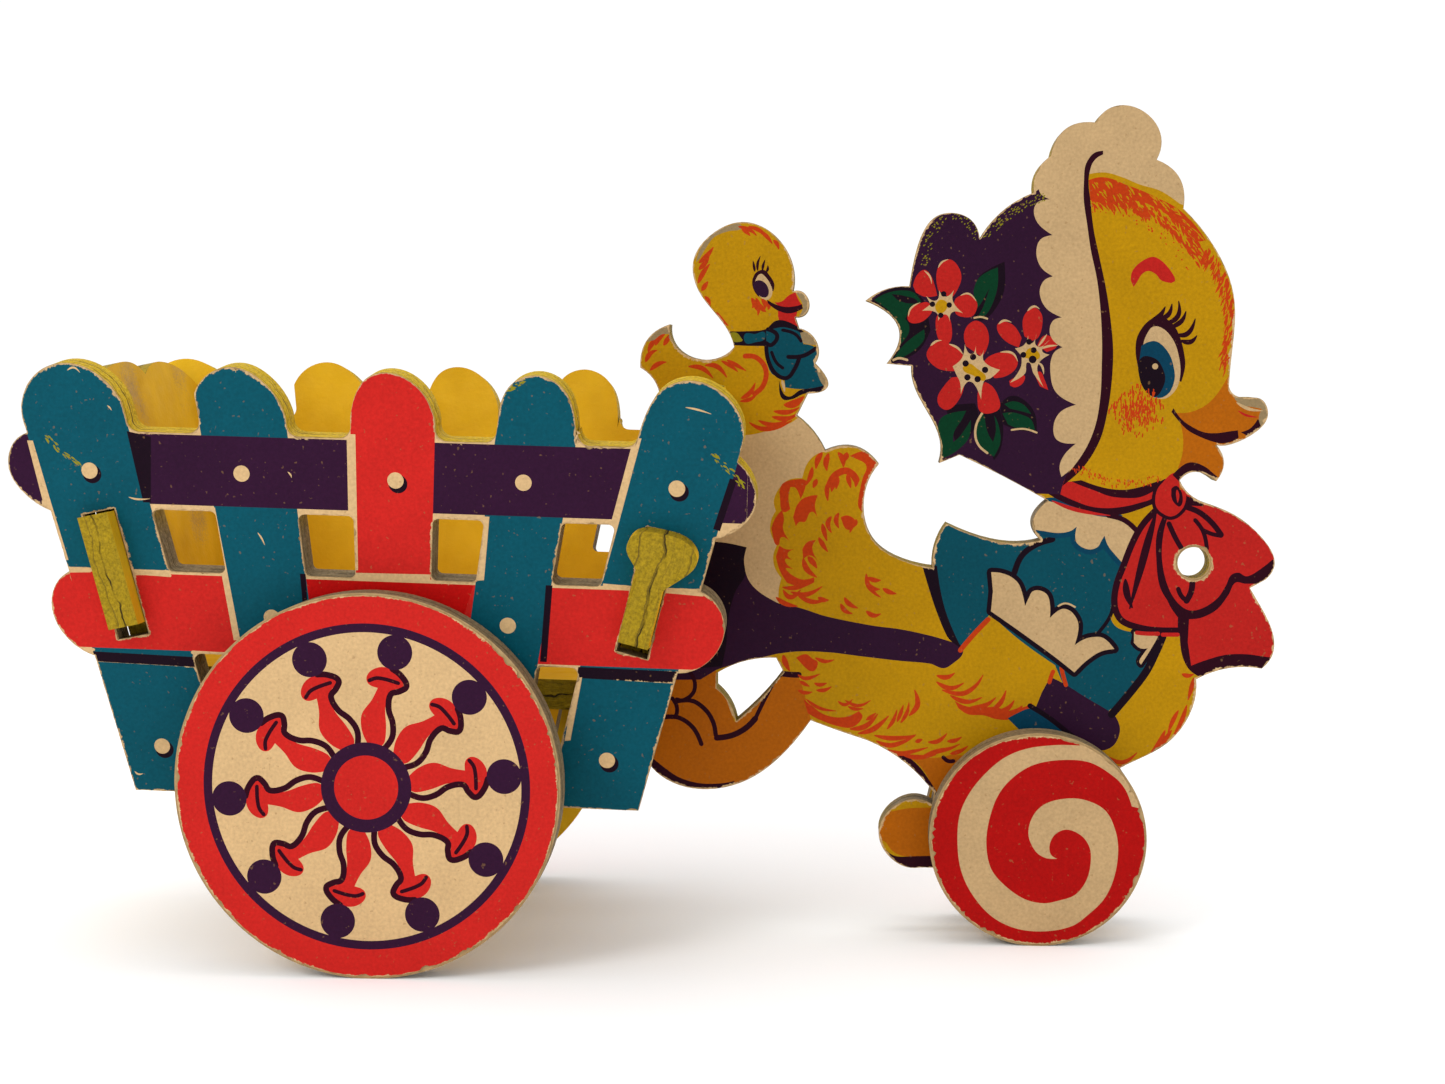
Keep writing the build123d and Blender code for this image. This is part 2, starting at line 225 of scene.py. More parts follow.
def draw_pole(art):
    """Pole. Its left end, where the cart shades it, is painted black as painted shade."""
    art.fill("purple", [(-23.2, 87.8, 1), (11.2, 87), (18, 85.8, 1), (17.4, 83), (18.2, 79), (20.4, 76.2),
        (25, 73.4, 1), (29.8, 72.4), (35.4, 70.6), (45.4, 68.6), (51.6, 67.8), (58.2, 66.4), (63, 65),
        (65.4, 64.2, 1), (65.2, 62.2), (63.6, 60.6), (61.2, 59.2), (58.2, 60.2), (51.6, 60.8), (42.8, 61.8),
        (36.2, 62.6), (29.6, 62.8), (24.4, 62.2, 1), (18, 60.6), (14.2, 59.6), (11.2, 58.6, 1),
        (7.6, 56.4, 1), (-23.6, 56.2, 1)])
    # painted shade: black laid over the pole's left end for the cart's shadow on the purple
    art.fill("black", [(-23.2, 87.8, 1), (11.2, 87), (18, 85.8, 1), (17.4, 83), (17.6, 79.6), (15.4, 75.8),
        (13.8, 69.6), (13.4, 64.2), (12.4, 59.4, 1), (-23.6, 56.2, 1)])


def draw_trailing_foot(art):
    """Trailing foot."""
    art.pen("maroon", 0.9, [(5.4, 58), (6.4, 55.8), (6, 53.4), (3.8, 51.8), (2.4, 52)], [(1.4, 52.2),
        (2.4, 50.2), (2, 48.2), (0.4, 48.2)])
    art.pen("maroon", 1, [(2.6, 51.6), (6, 51.6), (8.8, 49.6), (10.4, 47), (11, 44)], [(-0.2, 48),
        (3, 47.8), (6, 45.6), (7.8, 42)])
    art.fill("maroon", [(-4, 39.6, 1), (-0.4, 36.6), (3, 34.4), (7.4, 33.2), (12, 33.2), (15.2, 33.8, 1),
        (13, 31.2), (8.6, 30.4), (4.2, 31), (-0.4, 33), (-4.8, 36.6, 1)])
    art.pen("maroon", 1.3, [(11.2, 43.4), (14.6, 44), (17.6, 45.6), (19.8, 47.8)])
    art.pen("maroon", 0.9, [(19.8, 47.8), (21.8, 52), (24.2, 56.4), (26, 58)])
    art.pen("maroon", 1.3, [(26, 57.8), (28, 57.6), (29.4, 57.6)])


def draw_front_leg_and_foot(art):
    """Front leg and foot."""
    art.fill("orange", [(52.8, 39.4, 1), (55, 38.4), (57.2, 36), (59.4, 31.6, 1), (61.6, 27.6, 1),
        (70.4, 38.8, 1), (63.8, 40), (60.4, 39.4), (56, 39.2, 1)])
    art.fill("maroon", [(50, 40, 1), (51.6, 40), (53.8, 39.2), (56, 37.2), (57.8, 34.8), (59.6, 32, 1),
        (60.6, 29.4, 1), (57, 33.6), (54.8, 36.2), (52.6, 37.8), (49.4, 38.8, 1)])
    art.pen("maroon", 0.9, [(61.2, 39.4), (62.2, 38.6), (63.4, 38.6)])
    art.fill("orange", [(45.2, 26.4, 1), (49.6, 27.2), (54, 28), (65, 28.2, 1), (104.2, 30.2, 1),
        (104.4, 18.2, 1), (65, 17.8, 1), (52.8, 17.2), (50, 18.4), (48.4, 20.4), (45.2, 21.2, 1)])
    art.fill("maroon", [(46.8, 21.6, 1), (48.6, 18.6), (50.8, 17.2), (54.4, 17.2), (65, 17.6, 1),
        (104.4, 18, 1), (104.4, 8, 1), (51.8, 11.8, 1), (46.4, 16.2, 1)])


def draw_feather_strokes(art):
    """Feather strokes of the body."""
    art.brush("feather", 1.3, [(26, 62), (26.4, 60.4), (27.4, 58.4)])
    art.fill("feather", [(28.8, 61.4, 1), (31, 62.2), (32.4, 61.2), (33.6, 60.4), (32.6, 58.4),
        (30.6, 59.4, 1)])
    art.brush("feather", 0.9, [(33, 61.4), (35.2, 60.6), (37.2, 61)], [(29.2, 57.6), (31, 56.8),
        (34, 57.8)], [(29.6, 56.2), (30.6, 55.6), (31.8, 55)], [(32.8, 55.8), (34, 55.4), (35.6, 55.8)],
        [(33.2, 54.2), (35, 54.2), (36.6, 55)], [(29.2, 54.2), (30.8, 53.6), (32.4, 53.8)])
    art.fill("feather", [(30.4, 52.2, 1), (32.4, 50.6), (34.6, 49), (37.4, 48.2), (40.2, 48.4),
        (42.6, 49.6, 1), (43.4, 48.2), (41.2, 46), (38, 46.2), (34, 47.6), (31.4, 49, 1)])
    art.brush("feather", 0.8, [(31, 52.2), (34, 50.2), (37.6, 49.6)], [(38, 51.8), (39.6, 51),
        (41.2, 52.2)], [(39.6, 52), (42.4, 50.8), (45.2, 52)], [(40.2, 50.6), (42, 50), (43.6, 50.2)])
    art.brush("feather", 1.2, [(40.6, 45.6), (44, 46.2), (46.8, 49)], [(42.4, 44.6), (45.8, 45.6),
        (49.2, 48.6)], [(53.6, 48.6), (55.4, 50.8), (55.4, 52.6), (54.8, 54.4)])
    art.brush("feather", 0.9, [(44.2, 47.6), (45.4, 48.4), (46.4, 49.2)], [(48.8, 45.6), (50.2, 47.6),
        (51, 50)], [(51, 47.2), (51.8, 49.2), (52.4, 51)], [(51.8, 47), (53.2, 49.4), (53.6, 51.6)])
    art.brush("feather", 1.1, [(46, 44.2), (49.4, 43.6), (52.8, 43.8), (55.2, 44.4)], [(46.4, 43),
        (49.4, 42), (52.4, 42.8), (55, 44.2)], [(47.2, 41.4), (51.6, 40.2), (55, 40.8), (57.8, 41.6)],
        [(52.4, 39.8), (56, 39.4), (59.6, 40)], [(56, 39.2), (59.4, 40.6), (62.6, 41.4), (64.8, 42.4)])
    art.brush("feather", 1, [(57.8, 42.8), (60, 43), (62, 44.8)], [(62, 43), (63.8, 43.2), (65.2, 44)],
        [(62.6, 40.2), (64.8, 40.8), (66.6, 42)], [(55, 42.8), (55.6, 43), (56.6, 43.4)])


def draw_tail_feathers(art):
    """Tail feathers."""
    art.fill("feather", [(40.6, 105.8, 1), (43.2, 106.8), (45.8, 106.4), (47.6, 104.4), (45.8, 101.6),
        (44.6, 98.8), (43.8, 96.2), (43.2, 93.6, 1), (42.4, 95), (42.8, 98.4), (43.4, 101), (44.2, 103.6),
        (42.4, 105, 1)])
    art.brush("feather", 1.3, [(38, 106.6), (39, 105.2), (39.2, 103.4)], [(40, 106.6), (39.8, 105.8),
        (39.4, 104.6)], [(34.6, 106.6), (33.6, 105), (33.2, 103)], [(36, 106.4), (35.4, 104.4),
        (35.6, 102.6)])
    art.pen("feather", 1.5, [(36.2, 99.6), (37.4, 101.6), (39.6, 102.6), (41.2, 101.8), (42, 100.6)])
    art.brush("feather", 1.1, [(36, 100.2), (35.6, 98.4), (35.8, 96)], [(38, 101.4), (37.8, 100.2),
        (37.6, 98.6)], [(40, 101.8), (40.4, 100.4), (40.8, 98.8)], [(41.6, 101.4), (42, 100.4), (41.8, 99)],
        [(37.2, 100.6), (36.8, 99), (36.6, 98)], [(32.4, 103.4), (32, 101.4), (31, 99.4)], [(33.4, 100.8),
        (33, 99.8), (32.6, 98.8)])
    art.fill("feather", [(25.2, 98, 1), (26.2, 100), (29.8, 100.8), (31.2, 100.4, 1), (30.6, 98),
        (29.8, 96.4, 1), (28.8, 98.8), (27.6, 99, 1), (27.2, 96.6), (27.6, 94.2, 1), (26, 93.6),
        (25.4, 95.8, 1)])
    art.fill("feather", [(28.8, 94.6, 1), (30.2, 96.4), (32.4, 97.2), (33.6, 97.2, 1), (33, 95),
        (33.6, 92.2, 1), (32.2, 93.6), (30.8, 91.4), (29.6, 91.4), (28.8, 90.4, 1), (28.2, 92.4, 1)])
    art.brush("feather", 1.1, [(34.6, 91), (35, 89.2), (35.6, 87.2)], [(33.8, 88), (34.8, 86.2),
        (35.8, 84.8)], [(36.6, 92.6), (35.8, 91), (36.6, 89)], [(38.2, 93.4), (37.6, 91.8), (38.2, 90)])
    art.fill("feather", [(38.6, 92.4, 1), (40.2, 92.8), (41.8, 91.6), (41, 89.8), (39.8, 89.8),
        (39, 91.2, 1)])
    art.brush("feather", 0.9, [(41, 92.2), (41, 90.4), (40.6, 89)], [(42, 92), (41.8, 91), (41, 90)])
    art.fill("feather", [(23.4, 90, 1), (24.4, 92.4), (25.8, 94, 1), (26.2, 92), (26, 89.8),
        (27.4, 87.2, 1), (25.6, 88), (24.8, 86.2), (23.8, 88.2, 1)])
    art.fill("feather", [(30.2, 85.4, 1), (31.4, 87), (33.2, 87.4, 1), (32.4, 85.6), (33.6, 82.8, 1),
        (32, 84), (30.4, 83.2, 1)])
    art.brush("feather", 1.3, [(30.4, 83.4), (31.2, 81), (33.4, 79.2)], [(31.4, 83.8), (32.6, 82.4),
        (33.4, 81.2)])
    art.fill("feather", [(25.2, 86.2, 1), (26.6, 85.4), (28.6, 85.4, 1), (27, 84.4), (28, 83, 1),
        (26.4, 83), (28.2, 81, 1), (26.6, 81), (29.8, 78.8), (32.8, 79.2, 1), (32.6, 78), (29.8, 77.2),
        (26.8, 78, 1), (25.2, 80.8), (24.4, 83.8, 1)])
    art.brush("feather", 1.1, [(25.8, 77), (28, 76.8), (30.4, 77.4), (32.8, 78.2)], [(26, 76.4),
        (27.6, 74.8), (29.8, 76.4)], [(27.6, 76), (31, 75.4), (34.6, 77.2)], [(24.4, 74.8), (26.4, 73.4),
        (29.2, 72.8)], [(29.2, 75.2), (32.4, 73.8), (35.4, 74.2)], [(33.6, 74.8), (34.8, 74.2), (36, 74.2)],
        [(44.2, 80), (44.6, 77.6), (46, 75.8), (47.4, 74.8)], [(44.4, 79.2), (46, 78.6), (47.4, 78.6)],
        [(44.4, 78), (45.6, 76.8), (47.2, 76.6)], [(47.8, 76.8), (49.2, 76), (50.8, 75.6)], [(39.4, 74.8),
        (40.4, 73.4), (42.4, 72.4)], [(38.6, 73.4), (39.6, 71.8), (41.2, 71.2)], [(44.2, 71.8),
        (45.8, 70.8), (47.4, 71.2)])


def draw_lower_breast_and_cuff_feathers(art):
    """Lower breast and cuff feathers."""
    art.brush("feather", 1.1, [(59.6, 57.6), (61.8, 57.2), (63.6, 58.2)], [(59.6, 56.2), (62.6, 54.8),
        (65.6, 56)], [(60.8, 54.4), (65.2, 53.6), (68, 55.2), (69.8, 57.8)], [(62.6, 53.2), (66.2, 51.8),
        (69.6, 52.8)])
    art.fill("feather", [(63.6, 52, 1), (66.2, 50.8), (69.6, 50.6), (72.6, 50.8, 1), (74.8, 50),
        (77.8, 49.8, 1), (75.8, 48), (72.6, 48), (70, 48.8), (66.6, 49), (64.4, 50.4, 1)])
    art.brush("feather", 1.1, [(71.4, 49.8), (73.6, 51.6), (74.8, 54.4)], [(72.6, 49.4), (75.2, 50.4),
        (76.6, 52.2)], [(74.6, 49.2), (77, 49.8), (78.4, 51)], [(76.2, 49.8), (78.8, 50.2), (80.4, 51.6)],
        [(67, 50.6), (70.2, 51), (72.6, 52.8)])
    art.brush("feather", 1, [(115.4, 57.4), (114.8, 54.6), (114.2, 52.4)], [(114, 51.4), (112.8, 47.6),
        (111, 44.2)], [(112.2, 50.2), (111, 47.8), (110, 45.2)], [(109.4, 45.8), (108.2, 43.2),
        (106.2, 40.6)], [(110.8, 45.8), (109.2, 43.4), (107.8, 41.4)], [(97.2, 39.8), (100.2, 38.6),
        (103.4, 40.8)], [(98.4, 37.6), (102, 37.8), (105.4, 39.8)], [(103.6, 38.2), (107.2, 40.8),
        (109.6, 43.2)], [(112.8, 58.2), (114.2, 57.8), (115.4, 58.2)])


def draw_dress(art):
    """Dress."""
    art.fill("teal", [(57, 82, 1), (59.2, 92.8, 1), (80.8, 89.6, 1), (89.4, 91.8, 1), (101, 83, 1),
        (97.2, 71.8), (99, 68.2), (105.8, 67.4, 1), (108.4, 66.4, 1), (105.4, 60.4), (101.8, 54.6),
        (97, 49.8, 1), (92, 52.4), (87.2, 55.8, 1), (85.4, 60, 1), (77.8, 65.4), (71.2, 71.2, 1),
        (68, 67.2), (65.4, 64, 1), (63.6, 65.4), (60.8, 71), (59, 76.4, 1)])
    art.fill("black", [(56.4, 81.8, 1), (58, 76.4), (59.6, 71.6), (61.8, 66.4), (63, 65, 1),
        (65.2, 63.4, 1), (63.6, 66.6), (61.6, 71.6), (60.4, 76.4), (59.6, 81.8, 1)])
    art.pen("black", 1.3, [(76.4, 80.2), (78, 84), (81, 86.4), (84.6, 87.6)])
    art.pen("black", 0.8, [(98, 74.4), (97.2, 70.8), (94.6, 67)])
    art.fill("navy", [(75.2, 48.2, 1), (77.8, 49.6), (80, 50.4), (82.6, 49.8), (86.6, 47), (91, 43, 1),
        (84.4, 41.2, 1), (78, 45.4, 1)])
    art.fill("purple", [(84.4, 57.4, 1), (87.6, 55.8), (92, 53), (96.4, 50.4), (98.4, 49), (99.6, 46.2),
        (99, 43.4), (97.6, 41.8), (95.4, 41.2), (92.8, 42.2), (89.8, 44.4), (86.6, 47), (81.2, 50.4, 1),
        (82.6, 54, 1)])
    art.pen("black", 1.1, [(80, 51), (84.4, 48.2), (88.4, 45), (91.4, 42.6)])
    art.pen("black", 1.7, [(108.6, 66.4), (107.2, 63), (105.2, 58.8), (102.2, 54.6), (97.8, 49.2)])
    art.pen("feather", 1.1, [(64.8, 63.2), (67.6, 66.6), (70.8, 70)])
    art.pen("feather", 0.9, [(85, 58.6), (84.6, 57.6), (84.2, 56.2)], [(86.8, 59.4), (87.2, 57.6),
        (87.8, 55.6)])


def draw_sleeve_lace(art):
    """Sleeve lace, outlined."""
    art.rim("black", 2, [(71.4, 80.4, 1), (73.6, 80.2), (76, 79.2), (77.6, 77.4), (78.8, 73, 1),
        (79.6, 74.8), (80.4, 76.2), (82, 76.4), (83.6, 75.4), (84.2, 73.2), (84.2, 70.4, 1), (86, 72),
        (87.4, 72.4), (89.2, 71.4), (90.4, 68.8), (89.6, 64.4, 1), (91.4, 65.6), (93.4, 66.2), (95.8, 66),
        (98.2, 63.6, 1), (95.2, 63), (92.2, 61), (89.6, 58.4, 1), (85.6, 61.6), (81, 65), (76, 68.6),
        (71.4, 71.8, 1), (71.8, 76.2, 1)])
    art.fill("beige", [(71.4, 80.4, 1), (73.6, 80.2), (76, 79.2), (77.6, 77.4), (78.8, 73, 1), (79.6, 74.8),
        (80.4, 76.2), (82, 76.4), (83.6, 75.4), (84.2, 73.2), (84.2, 70.4, 1), (86, 72), (87.4, 72.4),
        (89.2, 71.4), (90.4, 68.8), (89.6, 64.4, 1), (91.4, 65.6), (93.4, 66.2), (95.8, 66),
        (98.2, 63.6, 1), (95.2, 63), (92.2, 61), (89.6, 58.4, 1), (85.6, 61.6), (81, 65), (76, 68.6),
        (71.4, 71.8, 1), (71.8, 76.2, 1)])
    art.pen("beige", 0.4, [(86, 73), (87.6, 73.6), (89.6, 72.8)])


def draw_collar(art):
    """Collar, outlined."""
    art.rim("navy", 2.2, [(81.8, 95, 1), (85, 95.6), (89.4, 94), (93.8, 92.8), (97, 92.4, 1), (99.6, 91.6),
        (102.4, 89.2, 1), (101.6, 86.4), (99.6, 82.6, 1), (98, 84.4), (96.6, 86.2), (95.8, 88.4, 1),
        (95.2, 87.4), (94.4, 86), (92.8, 85.4), (90.8, 86), (89.6, 87.4), (89.8, 90.4, 1), (88.4, 89.4),
        (85.8, 89), (82.8, 89.4, 1), (78.6, 90, 1)])
    art.fill("beige", [(81.8, 96.2, 1), (85, 95.6), (89.4, 94), (93.8, 92.8), (97, 92.4, 1), (99.6, 91.6),
        (102.4, 89.2, 1), (101.6, 86.4), (99.6, 82.6, 1), (98, 84.4), (96.6, 86.2), (95.8, 88.4, 1),
        (95.2, 87.4), (94.4, 86), (92.8, 85.4), (90.8, 86), (89.6, 87.4), (89.8, 90.4, 1), (88.4, 89.4),
        (85.8, 89), (82.8, 89.4, 1), (78.6, 90, 1)])
    art.fill("yellow", [(98.4, 92.4, 1), (102, 93.6), (105, 95.8, 1), (106.8, 94.2), (102.8, 89.6, 1)])
    art.pen("maroon", 1.1, [(96.6, 92.8), (100, 91.8), (102.8, 89.4)])


def draw_neck_ribbon(art):
    """Neck ribbon."""
    art.fill("maroon", [(87, 102.2, 1), (90.4, 100.6), (93.6, 99.4), (96.8, 98.6), (100.2, 98.4),
        (103.4, 99), (105.8, 99.8), (107.6, 100.4, 1), (108.4, 96.2, 1), (105.4, 95), (103.4, 94.2),
        (100.2, 93.2), (97, 92.8), (93.8, 93.4), (89.4, 94.6), (85.8, 96.2), (82.6, 98.2, 1)])
    art.fill("red", [(84, 98.8, 1), (87.4, 100.8, 1), (90.4, 99.4), (93.6, 98.2), (96.8, 97), (100.2, 96.6),
        (103.4, 96.8), (106.4, 98.2, 1), (106, 96.6), (103.4, 95.6), (100.2, 94.8), (96.4, 94.4),
        (92.6, 94.8), (88.8, 96.2), (85.8, 97.6, 1)])
    art.brush("red", 0.9, [(84.4, 96), (88.4, 94.4), (92.6, 93.4), (97, 92.8)])


def draw_bow(art):
    """Bow: left tail, right loop, right tail, knot."""
    art.rim("maroon", 2.8, [(107.2, 93.4, 1), (104.4, 90.2), (102.4, 86.4), (100.6, 81.6), (99.2, 77.6),
        (98.8, 73.6), (99.8, 70.8), (101.6, 69.6, 1), (105.8, 68.6), (111.8, 68.4, 1), (111.8, 70.6, 1),
        (110, 73.2), (108.6, 76.6), (107.4, 80.4), (107.6, 85.2), (108.6, 89.6), (109.4, 92.4, 1)])
    art.fill("red", [(107.2, 93.4, 1), (104.4, 90.2), (102.4, 86.4), (100.6, 81.6), (99.2, 77.6),
        (98.8, 73.6), (99.8, 70.8), (101.6, 69.6, 1), (105.8, 68.6), (111.8, 68.4, 1), (111.8, 70.6, 1),
        (110, 73.2), (108.6, 76.6), (107.4, 80.4), (107.6, 85.2), (108.6, 89.6), (109.4, 92.4, 1)])
    art.fill("maroon", [(108.6, 93.4, 1), (107, 88.6), (107, 83.2), (107.8, 77.4), (110, 73.6),
        (111.8, 71.8, 1), (112.2, 66.8), (112.8, 62.4), (114.2, 59.4), (116.2, 57.8, 1), (122.2, 56.8, 1),
        (136, 57, 1), (135.6, 83.2, 1), (119.6, 83.2, 1)])
    art.fill("red", [(109.4, 92.8, 1), (108.4, 88.6), (108.2, 83.6), (109.2, 78.4), (111.2, 74.4),
        (114, 72.2), (117, 72.6), (120.2, 74.8), (122, 77.6), (123, 79.8), (124.6, 80.4), (126.4, 79.6),
        (128.8, 80.8), (131.8, 83.2, 1), (137.8, 83.2, 1), (131, 96.2, 1), (117.2, 98.4, 1),
        (113, 96.2, 1)])
    art.fill("red", [(114.2, 70.2, 1), (117, 70.6), (120.2, 72.4), (122.6, 75.6), (124, 78.2), (126, 78),
        (128, 78, 1), (137.8, 74.4, 1), (138.2, 61.4, 1), (131.2, 62), (126.4, 62.6), (122, 62.4),
        (117.8, 61.2), (114.8, 60, 1), (114, 65.2, 1)])
    art.pen("maroon", 1.2, [(113.4, 94.6), (116.2, 93.4), (118.8, 91.2), (120.8, 88.6)])
    art.pen("maroon", 0.9, [(120.8, 88.4), (118.8, 88.8), (117, 89.6)], [(115.2, 91.8), (117, 89.2),
        (117.8, 85.6)])
    art.pen("maroon", 1.1, [(109.6, 91), (111, 88), (112.4, 85.6)])
    art.pen("maroon", 1.3, [(114.8, 79.2), (114.6, 76.4), (113.6, 74.2)])
    art.pen("maroon", 1, [(113.6, 74.2), (112.4, 75.4), (111.8, 76.8)])
    art.brush("maroon", 1.7, [(106.8, 93.4), (105.2, 87.4), (103.6, 81), (101.4, 72.4)])
    art.brush("maroon", 1.5, [(100.4, 79), (100.8, 75.6), (102, 72.6)])
    art.rim("maroon", 1.5, [(106.6, 96.6), (107.2, 98.8), (108.8, 100), (111.2, 100.4), (112.8, 99.2),
        (113.2, 96.6), (112.4, 94.2), (110.2, 92.6), (108, 93.4), (106.8, 94.8)])
    art.fill("maroon", [(112.6, 95, 1), (114, 96.6), (114.6, 99.2, 1), (116.2, 97), (117, 94.8, 1)])
    art.fill("red", [(112, 101, 1), (114, 99.6), (114.8, 98.6), (114.4, 97, 1), (113.4, 97),
        (113, 98.8, 1)])
    art.fill("red", [(106.6, 96.6), (107.2, 98.8), (108.8, 100.4), (111.2, 101), (112.8, 99.2),
        (113.2, 96.6), (112.4, 94.2), (110.2, 92.6), (108, 93.4), (106.8, 94.8)])
    art.fill("red", [(107.6, 99.2, 1), (109.6, 101.6), (111, 102.2, 1), (112.2, 101, 1), (111, 99.6, 1)])
    art.fill("maroon", [(110, 98.6, 1), (111.2, 99.2), (112.4, 97.2), (112, 94.8), (110.6, 95.6),
        (110, 97, 1)])
    art.brush("red", 0.7, [(111.2, 98.4), (111.4, 97), (111.4, 95.6)])


def draw_little_lace_under_bow(art):
    """Little lace under the bow."""
    art.rim("black", 1.5, [(102.4, 67.4, 1), (107.6, 66.4, 1), (106.2, 63.8), (104, 60.2, 1), (103.6, 61),
        (104.8, 63), (105.4, 63.8, 1), (103.8, 63.8), (102.4, 65, 1)])
    art.fill("beige", [(102.4, 67.4, 1), (107.6, 66.4, 1), (106.2, 63.8), (104, 60.2, 1), (103.6, 61),
        (104.8, 63), (105.4, 63.8, 1), (103.8, 63.8), (102.4, 65, 1)])
    art.pen("red", 0.9, [(103, 67.2), (105.2, 67), (107.6, 67)], [(108.6, 66.8), (110.2, 66.8),
        (111.8, 66.8)])


def draw_beak(art):
    """Beak."""
    art.fill("orange", [(123, 125, 1), (121.2, 121.8), (119.6, 119.2), (117.6, 117), (115.2, 115.6),
        (113, 115), (110.8, 115, 1), (111.8, 112.6), (112.4, 109.2), (112.2, 105.8), (111.4, 103.2, 1),
        (111.8, 98.4, 1), (122.6, 98.4, 1), (135.2, 109, 1), (135, 119.8, 1), (124.2, 122, 1)])
    art.fill("maroon", [(110.2, 116, 1), (112, 113.6), (114.2, 112), (116.8, 110.8), (119.4, 110.6),
        (122.4, 111), (124, 111.2, 1), (124.2, 109.6, 1), (122.8, 108.8), (120.6, 108.4), (118.6, 108.8),
        (116, 109.8), (113.4, 111.2), (111.4, 113.2), (109.8, 115.2, 1)])
    art.fill("maroon", [(124.6, 110.8, 1), (126.6, 111.6), (128.2, 113.6, 1), (129, 112), (127.4, 110.8),
        (126, 110, 1)])
    art.fill("maroon", [(110.2, 101.6, 1), (111.8, 103.2), (113.4, 104.2), (115.2, 104.2), (117.4, 103.2),
        (118.6, 102.2), (120, 101, 1), (118.6, 99.2, 1), (111.8, 100, 1)])
    art.fill("bare", [(123.2, 118, 1), (124.6, 116.6), (127, 116.2), (129, 115.8, 1), (128.4, 113.8),
        (129, 111.8, 1), (135, 112.2, 1), (134.8, 120.8, 1), (123.2, 121, 1)])
    art.brush("beige", 0.7, [(123.6, 117.2), (126.2, 115.8), (129.2, 115.4)])
    art.brush("red", 0.5, [(124, 115.4), (125.8, 114.4), (128.2, 114)])
    art.brush("beige", 0.7, [(112, 101), (114, 102), (116.4, 101), (119.2, 100.2)])


def draw_bonnet(art):
    """Bonnet."""
    art.fill("purple", [(94, 173.2, 1), (81.2, 173.4, 1), (47, 165.2, 1), (40.6, 139.6, 1), (47.2, 118, 1),
        (55.8, 98.4, 1), (86.2, 97.4, 1), (87.4, 101.2), (95.6, 113.4, 1), (97, 132.8, 1),
        (94.2, 147.8, 1)])


def draw_face(art):
    """Face, up to the brim."""
    art.fill("yellow", [(91.2, 166.5, 1), (91.6, 160.6), (92.4, 154.2), (93.8, 147.8), (95.2, 141.4),
        (96.2, 135), (96.8, 128.6), (96.6, 122), (95.8, 115.6), (94.2, 109.2), (90.8, 103.4), (87, 100, 1),
        (98.6, 101.5, 1), (99.5, 166, 1)])


